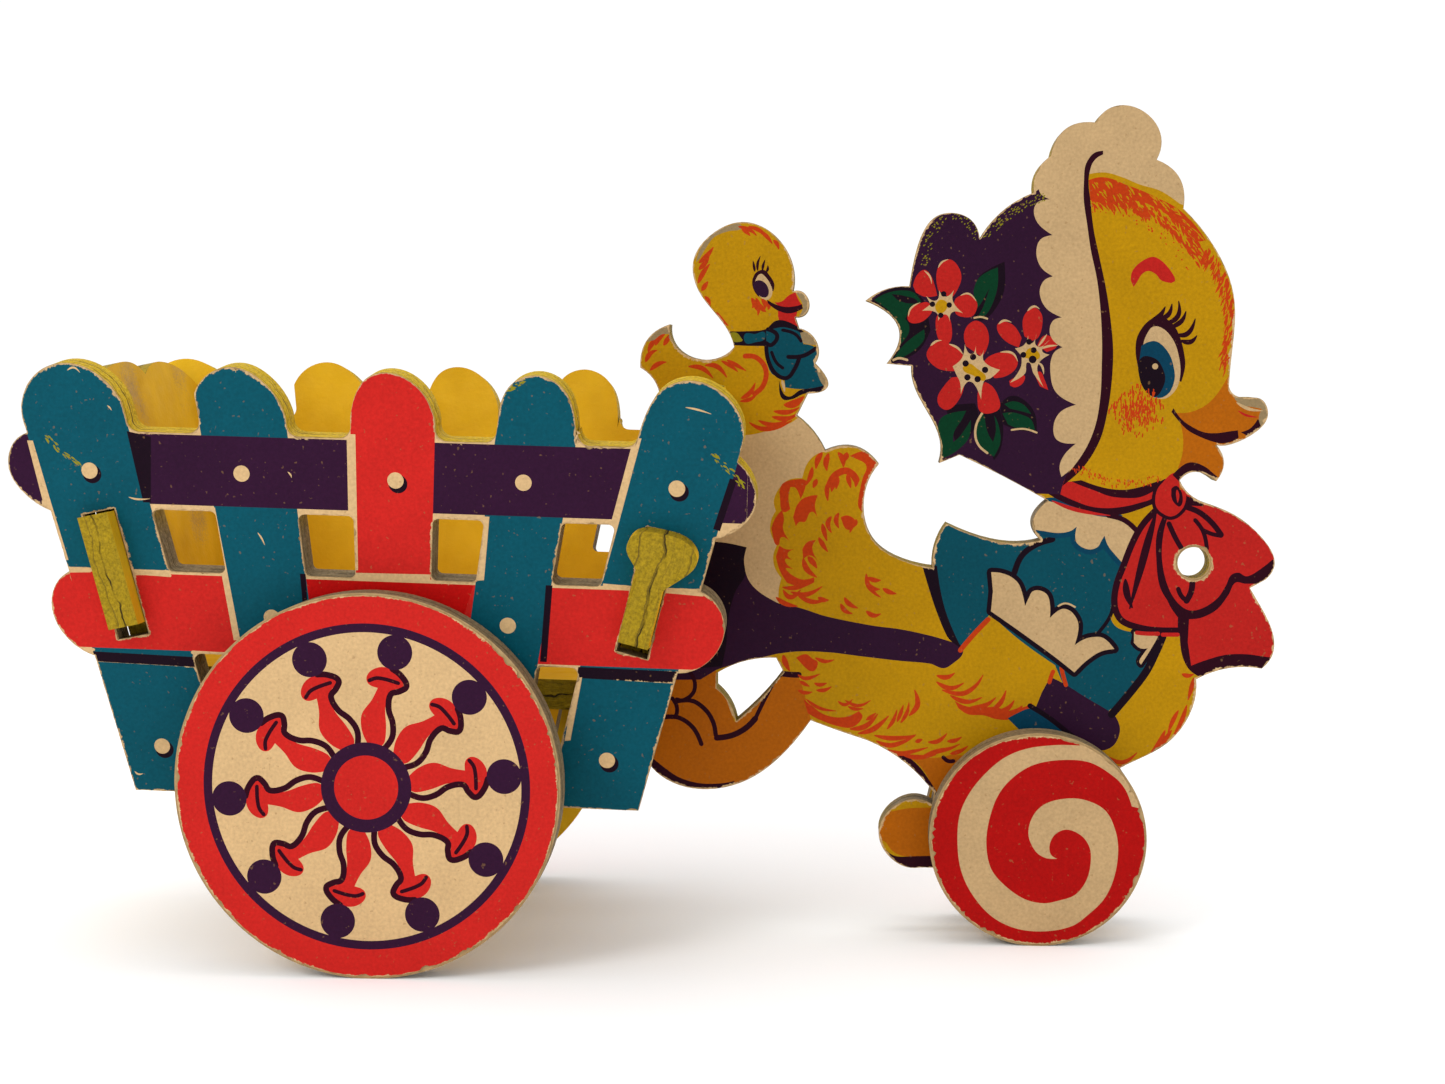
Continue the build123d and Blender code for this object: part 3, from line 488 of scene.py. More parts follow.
def draw_leaves(art):
    """Leaves."""
    art.fill("black", [(45.4, 139.4, 1), (48.4, 141.6), (52.2, 142.4), (54.8, 141.4), (57, 138.6, 1),
        (58, 133, 1), (55.2, 128.4), (49.2, 125.8, 1), (50.6, 132, 1)])
    art.fill("green", [(45.8, 139.6, 1), (48.4, 141), (51.4, 141.6), (54.2, 141.2), (56, 139.2, 1),
        (54, 137.8), (52.8, 136), (52, 134), (51.2, 132.2, 1), (50.6, 135.2), (48.4, 137.8, 1)])
    art.fill("black", [(49.6, 140.8, 1), (52.4, 140.4), (55.2, 139.2), (53.2, 138.8), (50.8, 139.6, 1)])
    art.fill("green", [(49.6, 126.6, 1), (50.6, 129.8), (51.4, 132.6), (52.6, 135.4, 1), (53.4, 134),
        (53.2, 132.2), (51, 129.4, 1)])
    art.fill("green", [(50, 126.6, 1), (51.8, 129.4), (54, 131.4), (56.6, 133.2, 1), (56.6, 131),
        (54.6, 128.8), (52, 127.2, 1)])
    art.pen("beige", 0.5, [(50, 126.6), (51.2, 127), (53, 126.6)])
    art.fill("black", [(67.4, 141.2, 1), (68.4, 144.4), (70.8, 146.2), (73.8, 147.6, 1), (73.8, 141.6),
        (72, 137.6), (69.6, 135.2), (67.4, 135.2, 1)])
    art.fill("green", [(67.2, 141.4, 1), (68.2, 144), (70.4, 145.6), (72.4, 146.4, 1), (72.4, 142.6),
        (71.6, 139.4), (70, 136.4), (67.8, 135.2, 1), (69.4, 138.2), (70.6, 142, 1), (69, 139),
        (67.6, 137.2, 1)])
    art.pen("beige", 0.4, [(67.4, 135.6), (68.8, 135.8), (70.2, 135.4)])
    art.fill("black", [(61.2, 116.8, 1), (67.6, 117.2, 1), (68.4, 114.4), (66.6, 110), (64, 107, 1)])
    art.fill("green", [(58.4, 104.4, 1), (59.6, 111.4), (60.2, 113.8), (62.2, 115), (65.8, 115.6, 1),
        (64.8, 113.6), (63.2, 111), (63, 108.8, 1), (64.4, 110), (66.8, 113.6, 1), (66.4, 109.8),
        (64.4, 107.4), (62, 105.8, 1)])
    art.fill("black", [(68.4, 115.8, 1), (73, 116.2, 1), (73.8, 111.4), (73.2, 107), (71.8, 104.8, 1)])
    art.fill("green", [(69.4, 115.2, 1), (68.2, 112.6), (68, 110), (68.8, 108), (71.8, 105.6, 1),
        (73.2, 108.8), (72.8, 112.4), (71.8, 114.6, 1), (72.2, 111.4), (71.6, 108.8, 1), (70.4, 111),
        (69.8, 114, 1)])
    art.pen("beige", 0.5, [(69.2, 115), (68, 112.6), (67.8, 110), (68.6, 108), (70.4, 106.4)])
    art.fill("black", [(73, 117, 1), (75.6, 118.8), (78.6, 117.6), (80.6, 114.8), (81, 111, 1), (77, 111.4),
        (73.8, 112.6, 1)])
    art.fill("green", [(74, 117, 1), (76, 117.6), (78.2, 116.8), (79.8, 114.8, 1), (77.8, 115.4),
        (75.2, 116, 1)])
    art.fill("green", [(73.6, 115, 1), (75.6, 115.2), (78, 114.6), (79.8, 113.6), (80.6, 111.4, 1),
        (77.4, 111.6), (74.8, 112.6, 1)])
    art.pen("beige", 0.4, [(75.6, 111.4), (78.4, 111.6), (81, 110.8)])


def draw_first_flower(art):
    """First flower."""
    art.fill("red", [(59.6, 141.6, 1), (59.2, 144.8), (60, 147.2), (62, 148.2), (63.8, 146.8),
        (64.6, 144.2), (63.6, 141.4), (62.4, 139.8, 1)])
    art.fill("red", [(54.2, 142.6, 1), (55, 144.8), (56.6, 146), (58, 144.8), (59, 142.2), (59.4, 140.4, 1),
        (56.8, 140.2), (54.8, 141.2, 1)])
    art.fill("red", [(63.2, 139.4), (64.4, 140.4), (66, 140.6), (67.8, 139.2), (68, 137.8), (67, 136),
        (65, 135.8), (63.4, 136.6)])
    art.fill("red", [(59.2, 135.6), (60, 136.6), (61.8, 136), (62.6, 133.4), (62.4, 130.8), (61.4, 130),
        (60, 130.6), (59.2, 133)])
    art.fill("red", [(53, 135.6), (53.8, 137.8), (55.8, 138.8), (57.4, 139), (58.4, 137.4), (57, 135.4),
        (55.4, 134.6), (53.8, 134.6)])
    art.fill("beige", [(57, 140.4, 1), (59.2, 139.4), (59.8, 141.6, 1), (61.2, 140.2), (63, 141.6, 1),
        (62.8, 139.2), (65, 136.6, 1), (62.6, 136.8), (62.2, 134.6, 1), (61.2, 136.4), (59.6, 135, 1),
        (59.2, 136.8), (56.2, 137.2, 1), (58, 138.6, 1)])
    art.fill("yellow", [(59.2, 138.8), (60.2, 139.6), (61.6, 138.8), (61.2, 137.2), (59.8, 136.6),
        (59, 137.8)])
    art.dots("black", 1.2, [(60.8, 140.8), (62, 138.4), (60.2, 136.2), (58.4, 138.6)])
    art.brush("beige", 0.4, [(56.6, 145.8), (57.8, 144.6), (58.2, 143)], [(59.6, 146.4), (60.4, 147.6),
        (61.8, 148.2)], [(64.4, 140.4), (66.2, 140.8), (67.8, 139.2)], [(53.2, 136), (53.8, 137.8),
        (55.8, 139)])


def draw_second_flower(art):
    """Second flower."""
    art.fill("red", [(65.6, 129.6, 1), (65.2, 132), (66, 134), (67.8, 135), (69.8, 133.8), (70.6, 131.2),
        (70, 128.6), (69, 127.2, 1)])
    art.fill("red", [(69.4, 126, 1), (70.8, 127.4), (73.4, 128.2), (75.8, 127.8), (76.8, 126.2),
        (76.2, 124.4), (74.2, 123), (71.8, 122.6, 1)])
    art.fill("red", [(69.8, 121.8, 1), (71.4, 120.8), (72.6, 118.8), (73, 116.2), (71, 115), (68.8, 115.4),
        (68.2, 117.8), (68.4, 120.4, 1)])
    art.fill("red", [(64.8, 123, 1), (65.2, 120.4), (63.8, 117.4), (61.8, 115.8), (60, 116.6),
        (59.6, 118.6), (61, 121), (62.6, 122.8, 1)])
    art.fill("red", [(65.2, 127.2, 1), (64.4, 124.6), (61.8, 124.2), (59.2, 125), (57.2, 127.4),
        (58, 129.6), (60, 130.8), (62.6, 129.8), (64.8, 128, 1)])
    art.fill("beige", [(62.8, 125.2, 1), (64.8, 127), (65.4, 130, 1), (66.8, 127.8), (67.8, 129.6, 1),
        (68.4, 127.4), (69.6, 128.8, 1), (69.6, 126.2), (73, 124.4, 1), (71, 122.6), (69.6, 122),
        (69, 118, 1), (67.4, 121.4), (66, 121.8), (64.6, 119.2, 1), (64.4, 121.8), (63.8, 123, 1)])
    art.fill("yellow", [(65, 125), (66.4, 125.8), (68.2, 124.6), (70, 123), (69.4, 122), (67.2, 123.2),
        (65.4, 124)])
    art.dots("black", 1.4, [(67.2, 127.2), (65.6, 125.8), (69.8, 124.4), (66, 122.8), (68.2, 122.4)])
    art.brush("beige", 0.5, [(73, 128.2), (75.6, 128), (76.8, 126.2)], [(58, 129.6), (59.2, 130.6),
        (60.4, 130.8)], [(62, 130), (63.8, 129.2), (65, 127.8)])


def draw_third_flower(art):
    """Third flower."""
    art.fill("red", [(78.2, 131.6, 1), (77.8, 135), (78.8, 137), (80.2, 137.8), (81.8, 136.4), (82, 134),
        (81.2, 131.4), (79.8, 130.6, 1)])
    art.fill("red", [(77, 129.2, 1), (74.4, 130.4), (72.6, 132.4), (72.4, 134.2), (73.8, 134.8),
        (76, 133.8), (77.6, 131.2, 1)])
    art.fill("red", [(75, 122, 1), (76, 122.6), (78.2, 123.2), (78, 121.6), (76.4, 120.6), (75.2, 121, 1)])
    art.fill("red", [(80.6, 123, 1), (81.6, 124), (82.6, 122.2), (83.4, 120, 1), (81.6, 120.8, 1)])
    art.fill("red", [(81, 129.6, 1), (82.8, 131.8), (85.2, 129.8), (83, 128.2, 1)])
    art.fill("beige", [(76.2, 129, 1), (78.2, 129.8), (79, 131.8, 1), (79.6, 130), (80.8, 132.2, 1),
        (81, 129.4), (83.6, 130.8, 1), (82, 128.6), (83.6, 127.6, 1), (81.6, 126.2), (81, 124.4),
        (82.4, 120.6, 1), (80.2, 123.6), (79, 126), (78.4, 123.6), (75.2, 121.6, 1), (77.4, 124.8),
        (77.6, 127.4, 1)])
    art.brush("beige", 0.5, [(81.2, 129.4), (82.2, 130.8), (83, 132)], [(81.6, 128.8), (83.2, 129.4),
        (85.4, 129.6)], [(72.6, 134.2), (73.8, 135), (75.4, 134.6)], [(78.8, 137), (80.2, 138),
        (81.4, 137.4)], [(81, 126), (82, 125.2), (82.4, 123.4)])
    art.fill("yellow", [(78.2, 127.2), (79.2, 129), (80.8, 128.6), (81.6, 127.2), (80.4, 126.4),
        (79, 126.8)])
    art.dots("black", 1.3, [(79.2, 130.4), (80.2, 128.6), (78, 127.6)])
    art.dots("black", 1.7, [(80, 126.6)])


def draw_lace_brim(art):
    """Lace brim and its line."""
    art.fill("beige", [(80, 162.2, 1), (81, 163, 1), (81.6, 161.8), (83.4, 160.8, 1), (80.8, 160.2),
        (80, 158.2), (81, 155.6), (84, 153.2, 1), (81.4, 152.2), (80.6, 149.4), (81.6, 146.4),
        (84.2, 144.4, 1), (82.2, 143.4), (81.4, 140.8), (82.8, 137.6), (86.2, 135.6, 1), (84.2, 134.8),
        (83.6, 132.4), (84.6, 130.4), (86.4, 129.2, 1), (84.4, 127.8), (83.8, 124.2), (85, 119.6),
        (89.4, 116.8, 1), (86, 115.2), (84.6, 112.2), (85.4, 109.2), (89.4, 108.4, 1), (87, 106),
        (86, 103.6), (86.4, 101.2, 1), (91.4, 106), (95, 114.6), (96.2, 128.6), (95.4, 139.2), (93, 151),
        (91.2, 160.6, 1), (91.2, 166, 1), (95, 166.4), (98.6, 165.4), (102.4, 163.8), (106.8, 162.4),
        (111, 159.6, 1), (115.2, 158.2, 1), (117, 185.6, 1), (76.8, 186, 1)])
    art.fill("maroon", [(94.6, 171, 1), (92.8, 170.6), (91.6, 169.4), (90.8, 167.6), (90.6, 164.8),
        (90.6, 160.6), (91.4, 155.2), (92.2, 150), (93.6, 143.6), (94.4, 137.2), (94.8, 130.6),
        (94.8, 125.4), (94.6, 118.8), (93.6, 112.4), (91.4, 107), (87.4, 101.4, 1), (86.6, 99.2, 1),
        (91.2, 103.4), (94.6, 109.2), (96.2, 115.6), (97, 122), (97.2, 128.6), (96.6, 135), (95.6, 141.4),
        (94.2, 147.8), (92.8, 154.2), (92, 160.6), (91.6, 164.8), (92.2, 168), (93.2, 169.4),
        (94.6, 170.2, 1)])


def draw_hair(art):
    """Hair."""
    art.fill("feather", [(91.6, 164.8, 1), (94, 165.4), (96.6, 165), (99.4, 163.8), (102.6, 162.6),
        (106.4, 160.8), (110.2, 158.8), (113.6, 155.8), (116.6, 151.8, 1), (114.6, 151.8), (112.2, 154.4),
        (109.4, 156.6), (105.8, 158.8), (102.6, 160.2), (99.4, 160.2), (95.8, 159.6), (92, 160.6, 1)])


def draw_brow(art):
    """Brow."""
    art.fill("red", [(100.8, 143.4, 1), (101, 145.2), (102.2, 146.8), (104, 148), (105.6, 148.4),
        (107.2, 147.6), (108.6, 146.2), (110, 144.2), (110.2, 143.2, 1), (109.4, 142.8, 1), (107.2, 143.4),
        (106.2, 144.6), (104.6, 145.4), (103.2, 144.8), (102.2, 143.2), (101.4, 142, 1)])


def draw_eye(art):
    """Eye."""
    art.fill("maroon", [(102, 128), (102.2, 131), (103.4, 133.4), (105, 135), (106.6, 135.6),
        (108.4, 135.2), (110.2, 133.6), (111.4, 131.2), (112.2, 128.4), (112.6, 125.2), (111.8, 121.6, 1),
        (111.2, 122, 1), (107.4, 118, 1), (105.2, 118.8), (103.6, 121), (102.6, 124.6)])
    art.fill("beige", [(103.6, 129.6), (105, 133), (106.4, 133.6), (108.4, 132.6), (110.2, 130.2),
        (111.2, 127.2), (111.6, 123.8), (111, 120.6), (109.4, 118.6), (107.8, 118), (105.2, 118.8),
        (103.6, 122)])
    art.fill("navy", [(103.2, 129.4, 1), (104.6, 130.2), (106.2, 130.4), (107.8, 129.4), (109.4, 127.2),
        (110.2, 124.6), (110.4, 122.4), (109.6, 119.8), (108.4, 118.6), (107, 118.2), (105.2, 118.8),
        (103.6, 121), (102.6, 124.6, 1)])
    art.fill("black", [(102.6, 125.6), (103.4, 127), (104.6, 127.2), (106.6, 126.4), (107.8, 124.6),
        (108.4, 122.4), (107.8, 120.2), (106.6, 118.6), (105.2, 118.8), (103.6, 120.6), (102.8, 123)])
    art.dots("beige", 1.3, [(106.2, 125)])
    art.brush("maroon", 1.1, [(105, 134.8), (107, 135.8), (108.2, 137.8)], [(106.4, 135), (108.8, 136),
        (109.6, 138.4)], [(107.8, 134), (110.8, 135.6), (111, 139)], [(109, 133.2), (111.6, 134.6),
        (112.6, 136.8)], [(110.2, 131.8), (113, 132), (114.6, 135.2)], [(111.4, 130.6), (113.6, 130.2),
        (115, 131.6)])


def draw_duckling(art):
    """Duckling."""
    art.fill("bare", [(7.2, 148, 1), (8, 150.6), (9.8, 153.2), (12.8, 155.2), (16.4, 156.4, 1),
        (17.2, 155.2), (14.2, 154.6), (11.2, 153.4), (9.6, 151.4), (8, 148.8, 1)])
    art.brush("feather", 1.1, [(7.8, 147.8), (9.6, 149.4), (11, 151.2)], [(7.8, 146.4), (9.2, 147.8),
        (10, 148.8)], [(7.6, 143.4), (8.8, 145.8), (10.2, 147.6)], [(8.4, 141.8), (9.2, 143), (9.8, 143.8)],
        [(8.6, 148), (9.4, 148.8), (10.2, 150.4)])
    art.brush("feather", 0.9, [(16.4, 155.6), (19, 154.8), (20.4, 153.6)], [(18.6, 155.6), (21.2, 154.6),
        (22.8, 152.8)], [(21.2, 154.6), (22.8, 153.2), (23.8, 151.8)], [(24, 152.6), (24.8, 151.8),
        (25.2, 150.6)], [(17.2, 155), (18.2, 154.4), (19, 153.6)], [(11.6, 137.2), (12.8, 135.4),
        (14.2, 134.2)], [(9, 140.6), (9.8, 139.8), (10.2, 138.4)])
    art.fill("maroon", [(19.4, 143.2), (19.6, 144.6), (20.4, 145.8), (22, 146.2), (23.2, 145),
        (24.2, 143.2), (24, 141.6, 1), (23, 141.8, 1), (21.2, 140.4), (20, 141.4)])
    art.fill("beige", [(20, 142.6), (20.2, 144.2), (21.2, 145.4), (22.2, 144.8), (23.2, 143.4),
        (23.8, 141.6), (23.2, 140), (22, 139.8), (20.6, 141)])
    art.fill("purple", [(19.6, 143.2), (20.8, 144), (22.2, 143.4), (23, 141.8), (22.6, 140.4),
        (21.4, 140.4), (20.2, 141.4)])
    art.brush("maroon", 0.6, [(20, 145.8), (19.8, 147), (19.6, 148.2)], [(20.6, 146), (20.6, 147.6),
        (21.2, 149.2)], [(21.6, 146), (21.8, 147.2), (22.2, 148.4)], [(22.4, 145.6), (22.8, 146.4),
        (22.8, 147.2)])
    art.brush("feather", 1, [(19.2, 140.2), (19.8, 139), (19.4, 138)], [(20.2, 140.2), (20.8, 138.4),
        (20.6, 136.4)], [(21.4, 140), (22.2, 138.8), (22, 137.6)], [(22.2, 139.4), (23, 138.6),
        (22.8, 137.6)], [(19.8, 138.8), (20.6, 137.8), (21, 137)], [(21, 139), (21.6, 137.8),
        (22.4, 137.2)])
    art.fill("red", [(24.2, 139.2, 1), (25.8, 139.4), (27.2, 140.6), (28.8, 141.4, 1), (29.4, 139.8),
        (30.2, 138.6, 1), (27.6, 138), (25.4, 138.2, 1)])
    art.fill("maroon", [(22.6, 139.8, 1), (24.4, 138.8), (26.6, 138.2), (29, 138.4), (30.2, 138.8, 1),
        (30.4, 137.8, 1), (27.6, 136.8), (25, 137.4), (22.8, 139, 1)])
    art.fill("red", [(25, 137.4, 1), (27.2, 136.8), (29.2, 137.2, 1), (29, 135.8), (29.8, 133.6, 1),
        (27.2, 134.2), (25.4, 135.2), (25, 136.2, 1)])
    art.fill("bare", [(28.8, 141.4, 1), (33, 142.2, 1), (33, 136.6, 1), (29.6, 136.2, 1), (30.4, 138),
        (30, 139.6, 1)])
    art.fill("black", [(13.8, 133, 1), (17.8, 133), (22.2, 133.4), (24.4, 135.2), (26.6, 135.2),
        (29.8, 133.6, 1), (31, 132.4, 1), (24.4, 130), (20, 129.8), (15.2, 130, 1)])
    art.fill("teal", [(17.8, 132.4), (20, 132.4), (22, 132.8), (22, 131.2), (20, 130.6), (18, 130.4)])
    art.brush("olive", 2, [(14.6, 132.6), (15.8, 131.6), (17.2, 131)])
    art.fill("teal", [(22.4, 133, 1), (24.4, 133.6), (26.4, 133.8), (29.2, 133, 1), (31, 131.4),
        (30.4, 130.2, 1), (32.4, 129.8), (33.6, 129, 1), (34.6, 126.6, 1), (33.6, 124), (35.4, 121, 1),
        (32.4, 120.6), (29.8, 120.4), (26.4, 120.8, 1), (26.2, 122.8), (25.4, 123), (23.6, 123.8),
        (22.6, 126.2), (22.4, 129.8, 1)])
    art.pen("black", 0.9, [(22.4, 130.2), (22.8, 126.8), (24.4, 123.8), (26.8, 122.8), (28.6, 124.8),
        (29.6, 127.2)], [(22.8, 133.4), (24.8, 132), (23.6, 130), (22.4, 130.4)])
    art.pen("black", 0.7, [(26, 133.2), (28.6, 132.4), (30, 130.8)])
    art.pen("black", 0.9, [(27.2, 127.4), (30.4, 127.6), (33.2, 129.2)])
    art.pen("black", 0.7, [(23.6, 128.4), (24.6, 126.2), (26, 125)])
    art.fill("bare", [(29.8, 132.6, 1), (32.4, 133.2, 1), (34.6, 130, 1), (32.4, 130), (30.4, 130.4, 1)])
    art.fill("bare", [(33.2, 125.8, 1), (36.2, 125.8, 1), (37.4, 119.8, 1), (35, 121), (33.6, 123.6, 1)])
    art.fill("black", [(25.2, 122.4, 1), (26.2, 119.4), (27.6, 118.8), (29.8, 120.2), (32.4, 120.6),
        (35.2, 121.2, 1), (36.2, 119.8, 1), (30.8, 119.4), (28, 118.2), (26, 118.2), (25.2, 120.2, 1)])
    art.brush("beige", 0.7, [(25.8, 122.4), (26.2, 121), (26.4, 119.8)])
    art.brush("feather", 1.1, [(5.4, 125.4), (8.4, 125), (10.8, 122.8)], [(9, 125.6), (11.6, 125.4),
        (13.8, 123)], [(16.8, 118.4), (18.8, 119.6), (20, 121.8)], [(24, 115.6), (27.2, 115.4),
        (29.6, 116.4)], [(23.6, 114.4), (27, 114), (29.4, 115.2)], [(20.6, 113.6), (24, 112.6),
        (27.4, 113.8)], [(18.6, 113.2), (21.4, 111.8), (25, 112.2), (28, 113.6)])
    art.brush("feather", 0.9, [(12.6, 126.6), (14.8, 125.4), (16.2, 124.2)], [(13.8, 126.8), (16, 125.6),
        (18, 124.4)], [(16.6, 117.8), (18.8, 118.2), (20.4, 119.4)])
    art.pen("feather", 1.1, [(17.8, 127.6), (20, 127.4), (21.8, 125.8), (22.4, 123.6), (21.6, 121),
        (19.8, 119.4)])
    art.brush("feather", 1.7, [(26.2, 117), (28.4, 117.2), (30.6, 118.8)])
    art.brush("feather", 1.1, [(-1.8, 130), (-0.8, 131.8), (1, 133.4)], [(-3.4, 128.6), (-2.4, 130.6),
        (-0.8, 131.6)], [(-4, 126.4), (-3, 128.2), (-1.4, 129)], [(-3, 124.6), (-1.2, 126), (0.6, 126.4)],
        [(0, 130), (1, 131.6), (1.6, 132.6)])
    art.fill("bare", [(-3.8, 130.8, 1), (-1.8, 133.4), (0.2, 134.4), (2.4, 135, 1), (1.8, 132.8),
        (-0.4, 132.4), (-2, 131.2, 1)])


# The duck's hair: lines that its short strokes are scattered about.
HAIR_FRONT = [(92, 162.6), (98.2, 162.6), (104.6, 160), (110.6, 156.2), (114.4, 152.4), (117, 148.4)]
HAIR_SIDE = [(116.6, 149.8), (118.4, 146.8), (120.4, 143), (121.4, 138), (121.8, 131.6), (120.8, 124.6)]


DUCK_PARTS = [
    draw_ground, draw_pole, draw_trailing_foot, draw_front_leg_and_foot, draw_feather_strokes,
    draw_tail_feathers, draw_lower_breast_and_cuff_feathers, draw_dress, draw_sleeve_lace, draw_collar,
    draw_neck_ribbon, draw_bow, draw_little_lace_under_bow, draw_beak, draw_bonnet, draw_face, draw_leaves,
    draw_first_flower, draw_second_flower, draw_third_flower, draw_lace_brim, draw_hair, draw_brow,
    draw_eye, draw_duckling,
]


def duck_art():
    """The duck pulling by the pole, with her bonnet, bow and dress, and the duckling on her back."""
    # the duck's sheet takes its painted shade here
    art = Art("yellow", DUCK_PAINTED_SHADE)
    for draw in DUCK_PARTS:
        draw(art)
    chance = random.Random(7)
    fringe(art, chance, HAIR_FRONT, HAIR_SIDE)
    blush(art, chance, *CHEEK)
    spray_dust(art, chance)
    return art


def ticks(art, chance, band, ink, count, **shape):
    """Many short pen strokes scattered about a line, all leaning one way.

    shape gives spread, the distance to either side of the line; drop, a shift away from it; ahead, the
    direction of the strokes in degrees; and length and width in mm."""
    line = smooth(band, closed=False)
    left, right = offsets(line, np.full(len(line), 2.0))
    across = left - line
    for _ in range(count):
        index = chance.randrange(len(line))
        shift = shape["drop"] + chance.uniform(-1, 1) * shape["spread"]
        x, y = line[index] + across[index] * shift
        angle = math.radians(shape["ahead"] + chance.gauss(0, 9))
        length = shape["length"] * chance.uniform(0.4, 1.0)
        tip = (x + math.cos(angle) * length, y + math.sin(angle) * length)
        middle = (x + math.cos(angle + 0.1) * length / 2, y + math.sin(angle + 0.1) * length / 2)
        art.brush(ink, shape["width"] * chance.uniform(0.6, 1.2), [(x, y), middle, tip])


def fringe(art, chance, front, side):
    """The duck's brushed hair under the brim and down her forehead, ragged on both edges."""
    ticks(art, chance, front, "yellow", 24, spread=0.6, drop=1.2, ahead=-48, length=2.4, width=0.32)
    ticks(art, chance, front, "feather", 230, spread=1.5, drop=-1.5, ahead=-58, length=2.6, width=0.5)
    ticks(art, chance, front, "feather", 60, spread=1.6, drop=-4.0, ahead=-62, length=0.6, width=0.35)
    ticks(art, chance, front, "yellow", 60, spread=2.4, drop=0.0, ahead=-55, length=1.6, width=0.28)
    ticks(art, chance, side, "feather", 150, spread=1.1, drop=0.2, ahead=-108, length=2.8, width=0.5)
    ticks(art, chance, side, "yellow", 40, spread=1.2, drop=0.0, ahead=-108, length=2.0, width=0.3)
    chin = [(89, 103.6), (93.6, 101.2), (98.6, 99.8), (103.6, 99.8), (107.4, 101.4)]
    ticks(art, chance, chin, "feather", 90, spread=0.9, drop=0.2, ahead=-75, length=0.9, width=0.32)


def blush(art, chance, x, y):
    """Short upright ticks over the cheek, thinning out towards its edge."""
    placed = 0
    while placed < 250:
        dx, dy = chance.gauss(0, 2.8), chance.gauss(0, 2.5)
        if math.hypot(dx / 6.2, dy / 5.6) > 1:
            continue
        placed += 1
        low = (x + dx, y + dy)
        high = (low[0] + chance.gauss(0, 0.15), low[1] + chance.uniform(0.4, 1.0))
        art.pen("feather", 0.26, [low, high])


def spray_dust(art, chance):
    """Yellow spray from the back of the board, caught along the bonnet's upper edge."""
    for edge in ([(56.6, 147), (58.4, 154), (63, 157.4), (68, 152.6)],
                 [(69.2, 152.8), (75.6, 158), (82, 161.4)]):
        ticks(art, chance, edge, "olive", 90, spread=0.9, drop=0.0, ahead=40, length=0.6, width=0.3)


# The cart's slats: left edge from foot to top, right edge from top to foot.
SLATS = [
    ("teal", (-56.0, -75.7), (-53.9, -35.0)),
    ("teal", (-27.9, -39.0), (-21.0, -13.0)),
    ("red", (-7.0, -8.0), (9.3, 6.5)),
    ("teal", (10.7, 21.6), (38.1, 25.1)),
    ("teal", (31.8, 50.2), (71.6, 51.6)),
]
SLAT_FOOT, SLAT_TOP, HEAD_TOP = -5.8, 72.0, 92.0
TOP_RAIL = (56.7, 71.4)
LOW_RAIL = (25.5, 41.9)


def slat(art, index, low, high):
    """One slat between two heights."""
    ink, (left_foot, left_top), (right_top, right_foot) = SLATS[index]
    def edge(foot, top, v):
        share = (v - SLAT_FOOT) / (SLAT_TOP - SLAT_FOOT)
        return foot + (top - foot) * share
    art.fill(ink, [(edge(left_foot, left_top, low), low, 1), (edge(right_foot, right_top, low), low, 1),
                   (edge(right_foot, right_top, high), high, 1), (edge(left_foot, left_top, high), high, 1)])


def rail(art, ink, low, high):
    """A rail right across the side, between two heights."""
    art.fill(ink, [(-90, low, 1), (90, low, 1), (90, high, 1), (-90, high, 1)])


def nail(art, u, v, shaded):
    """A printed nail head, with its shade where one is drawn."""
    if shaded:
        art.disc("black", u + 0.5, v - 0.7, 1.95)
    art.disc("beige", u, v, 1.7)


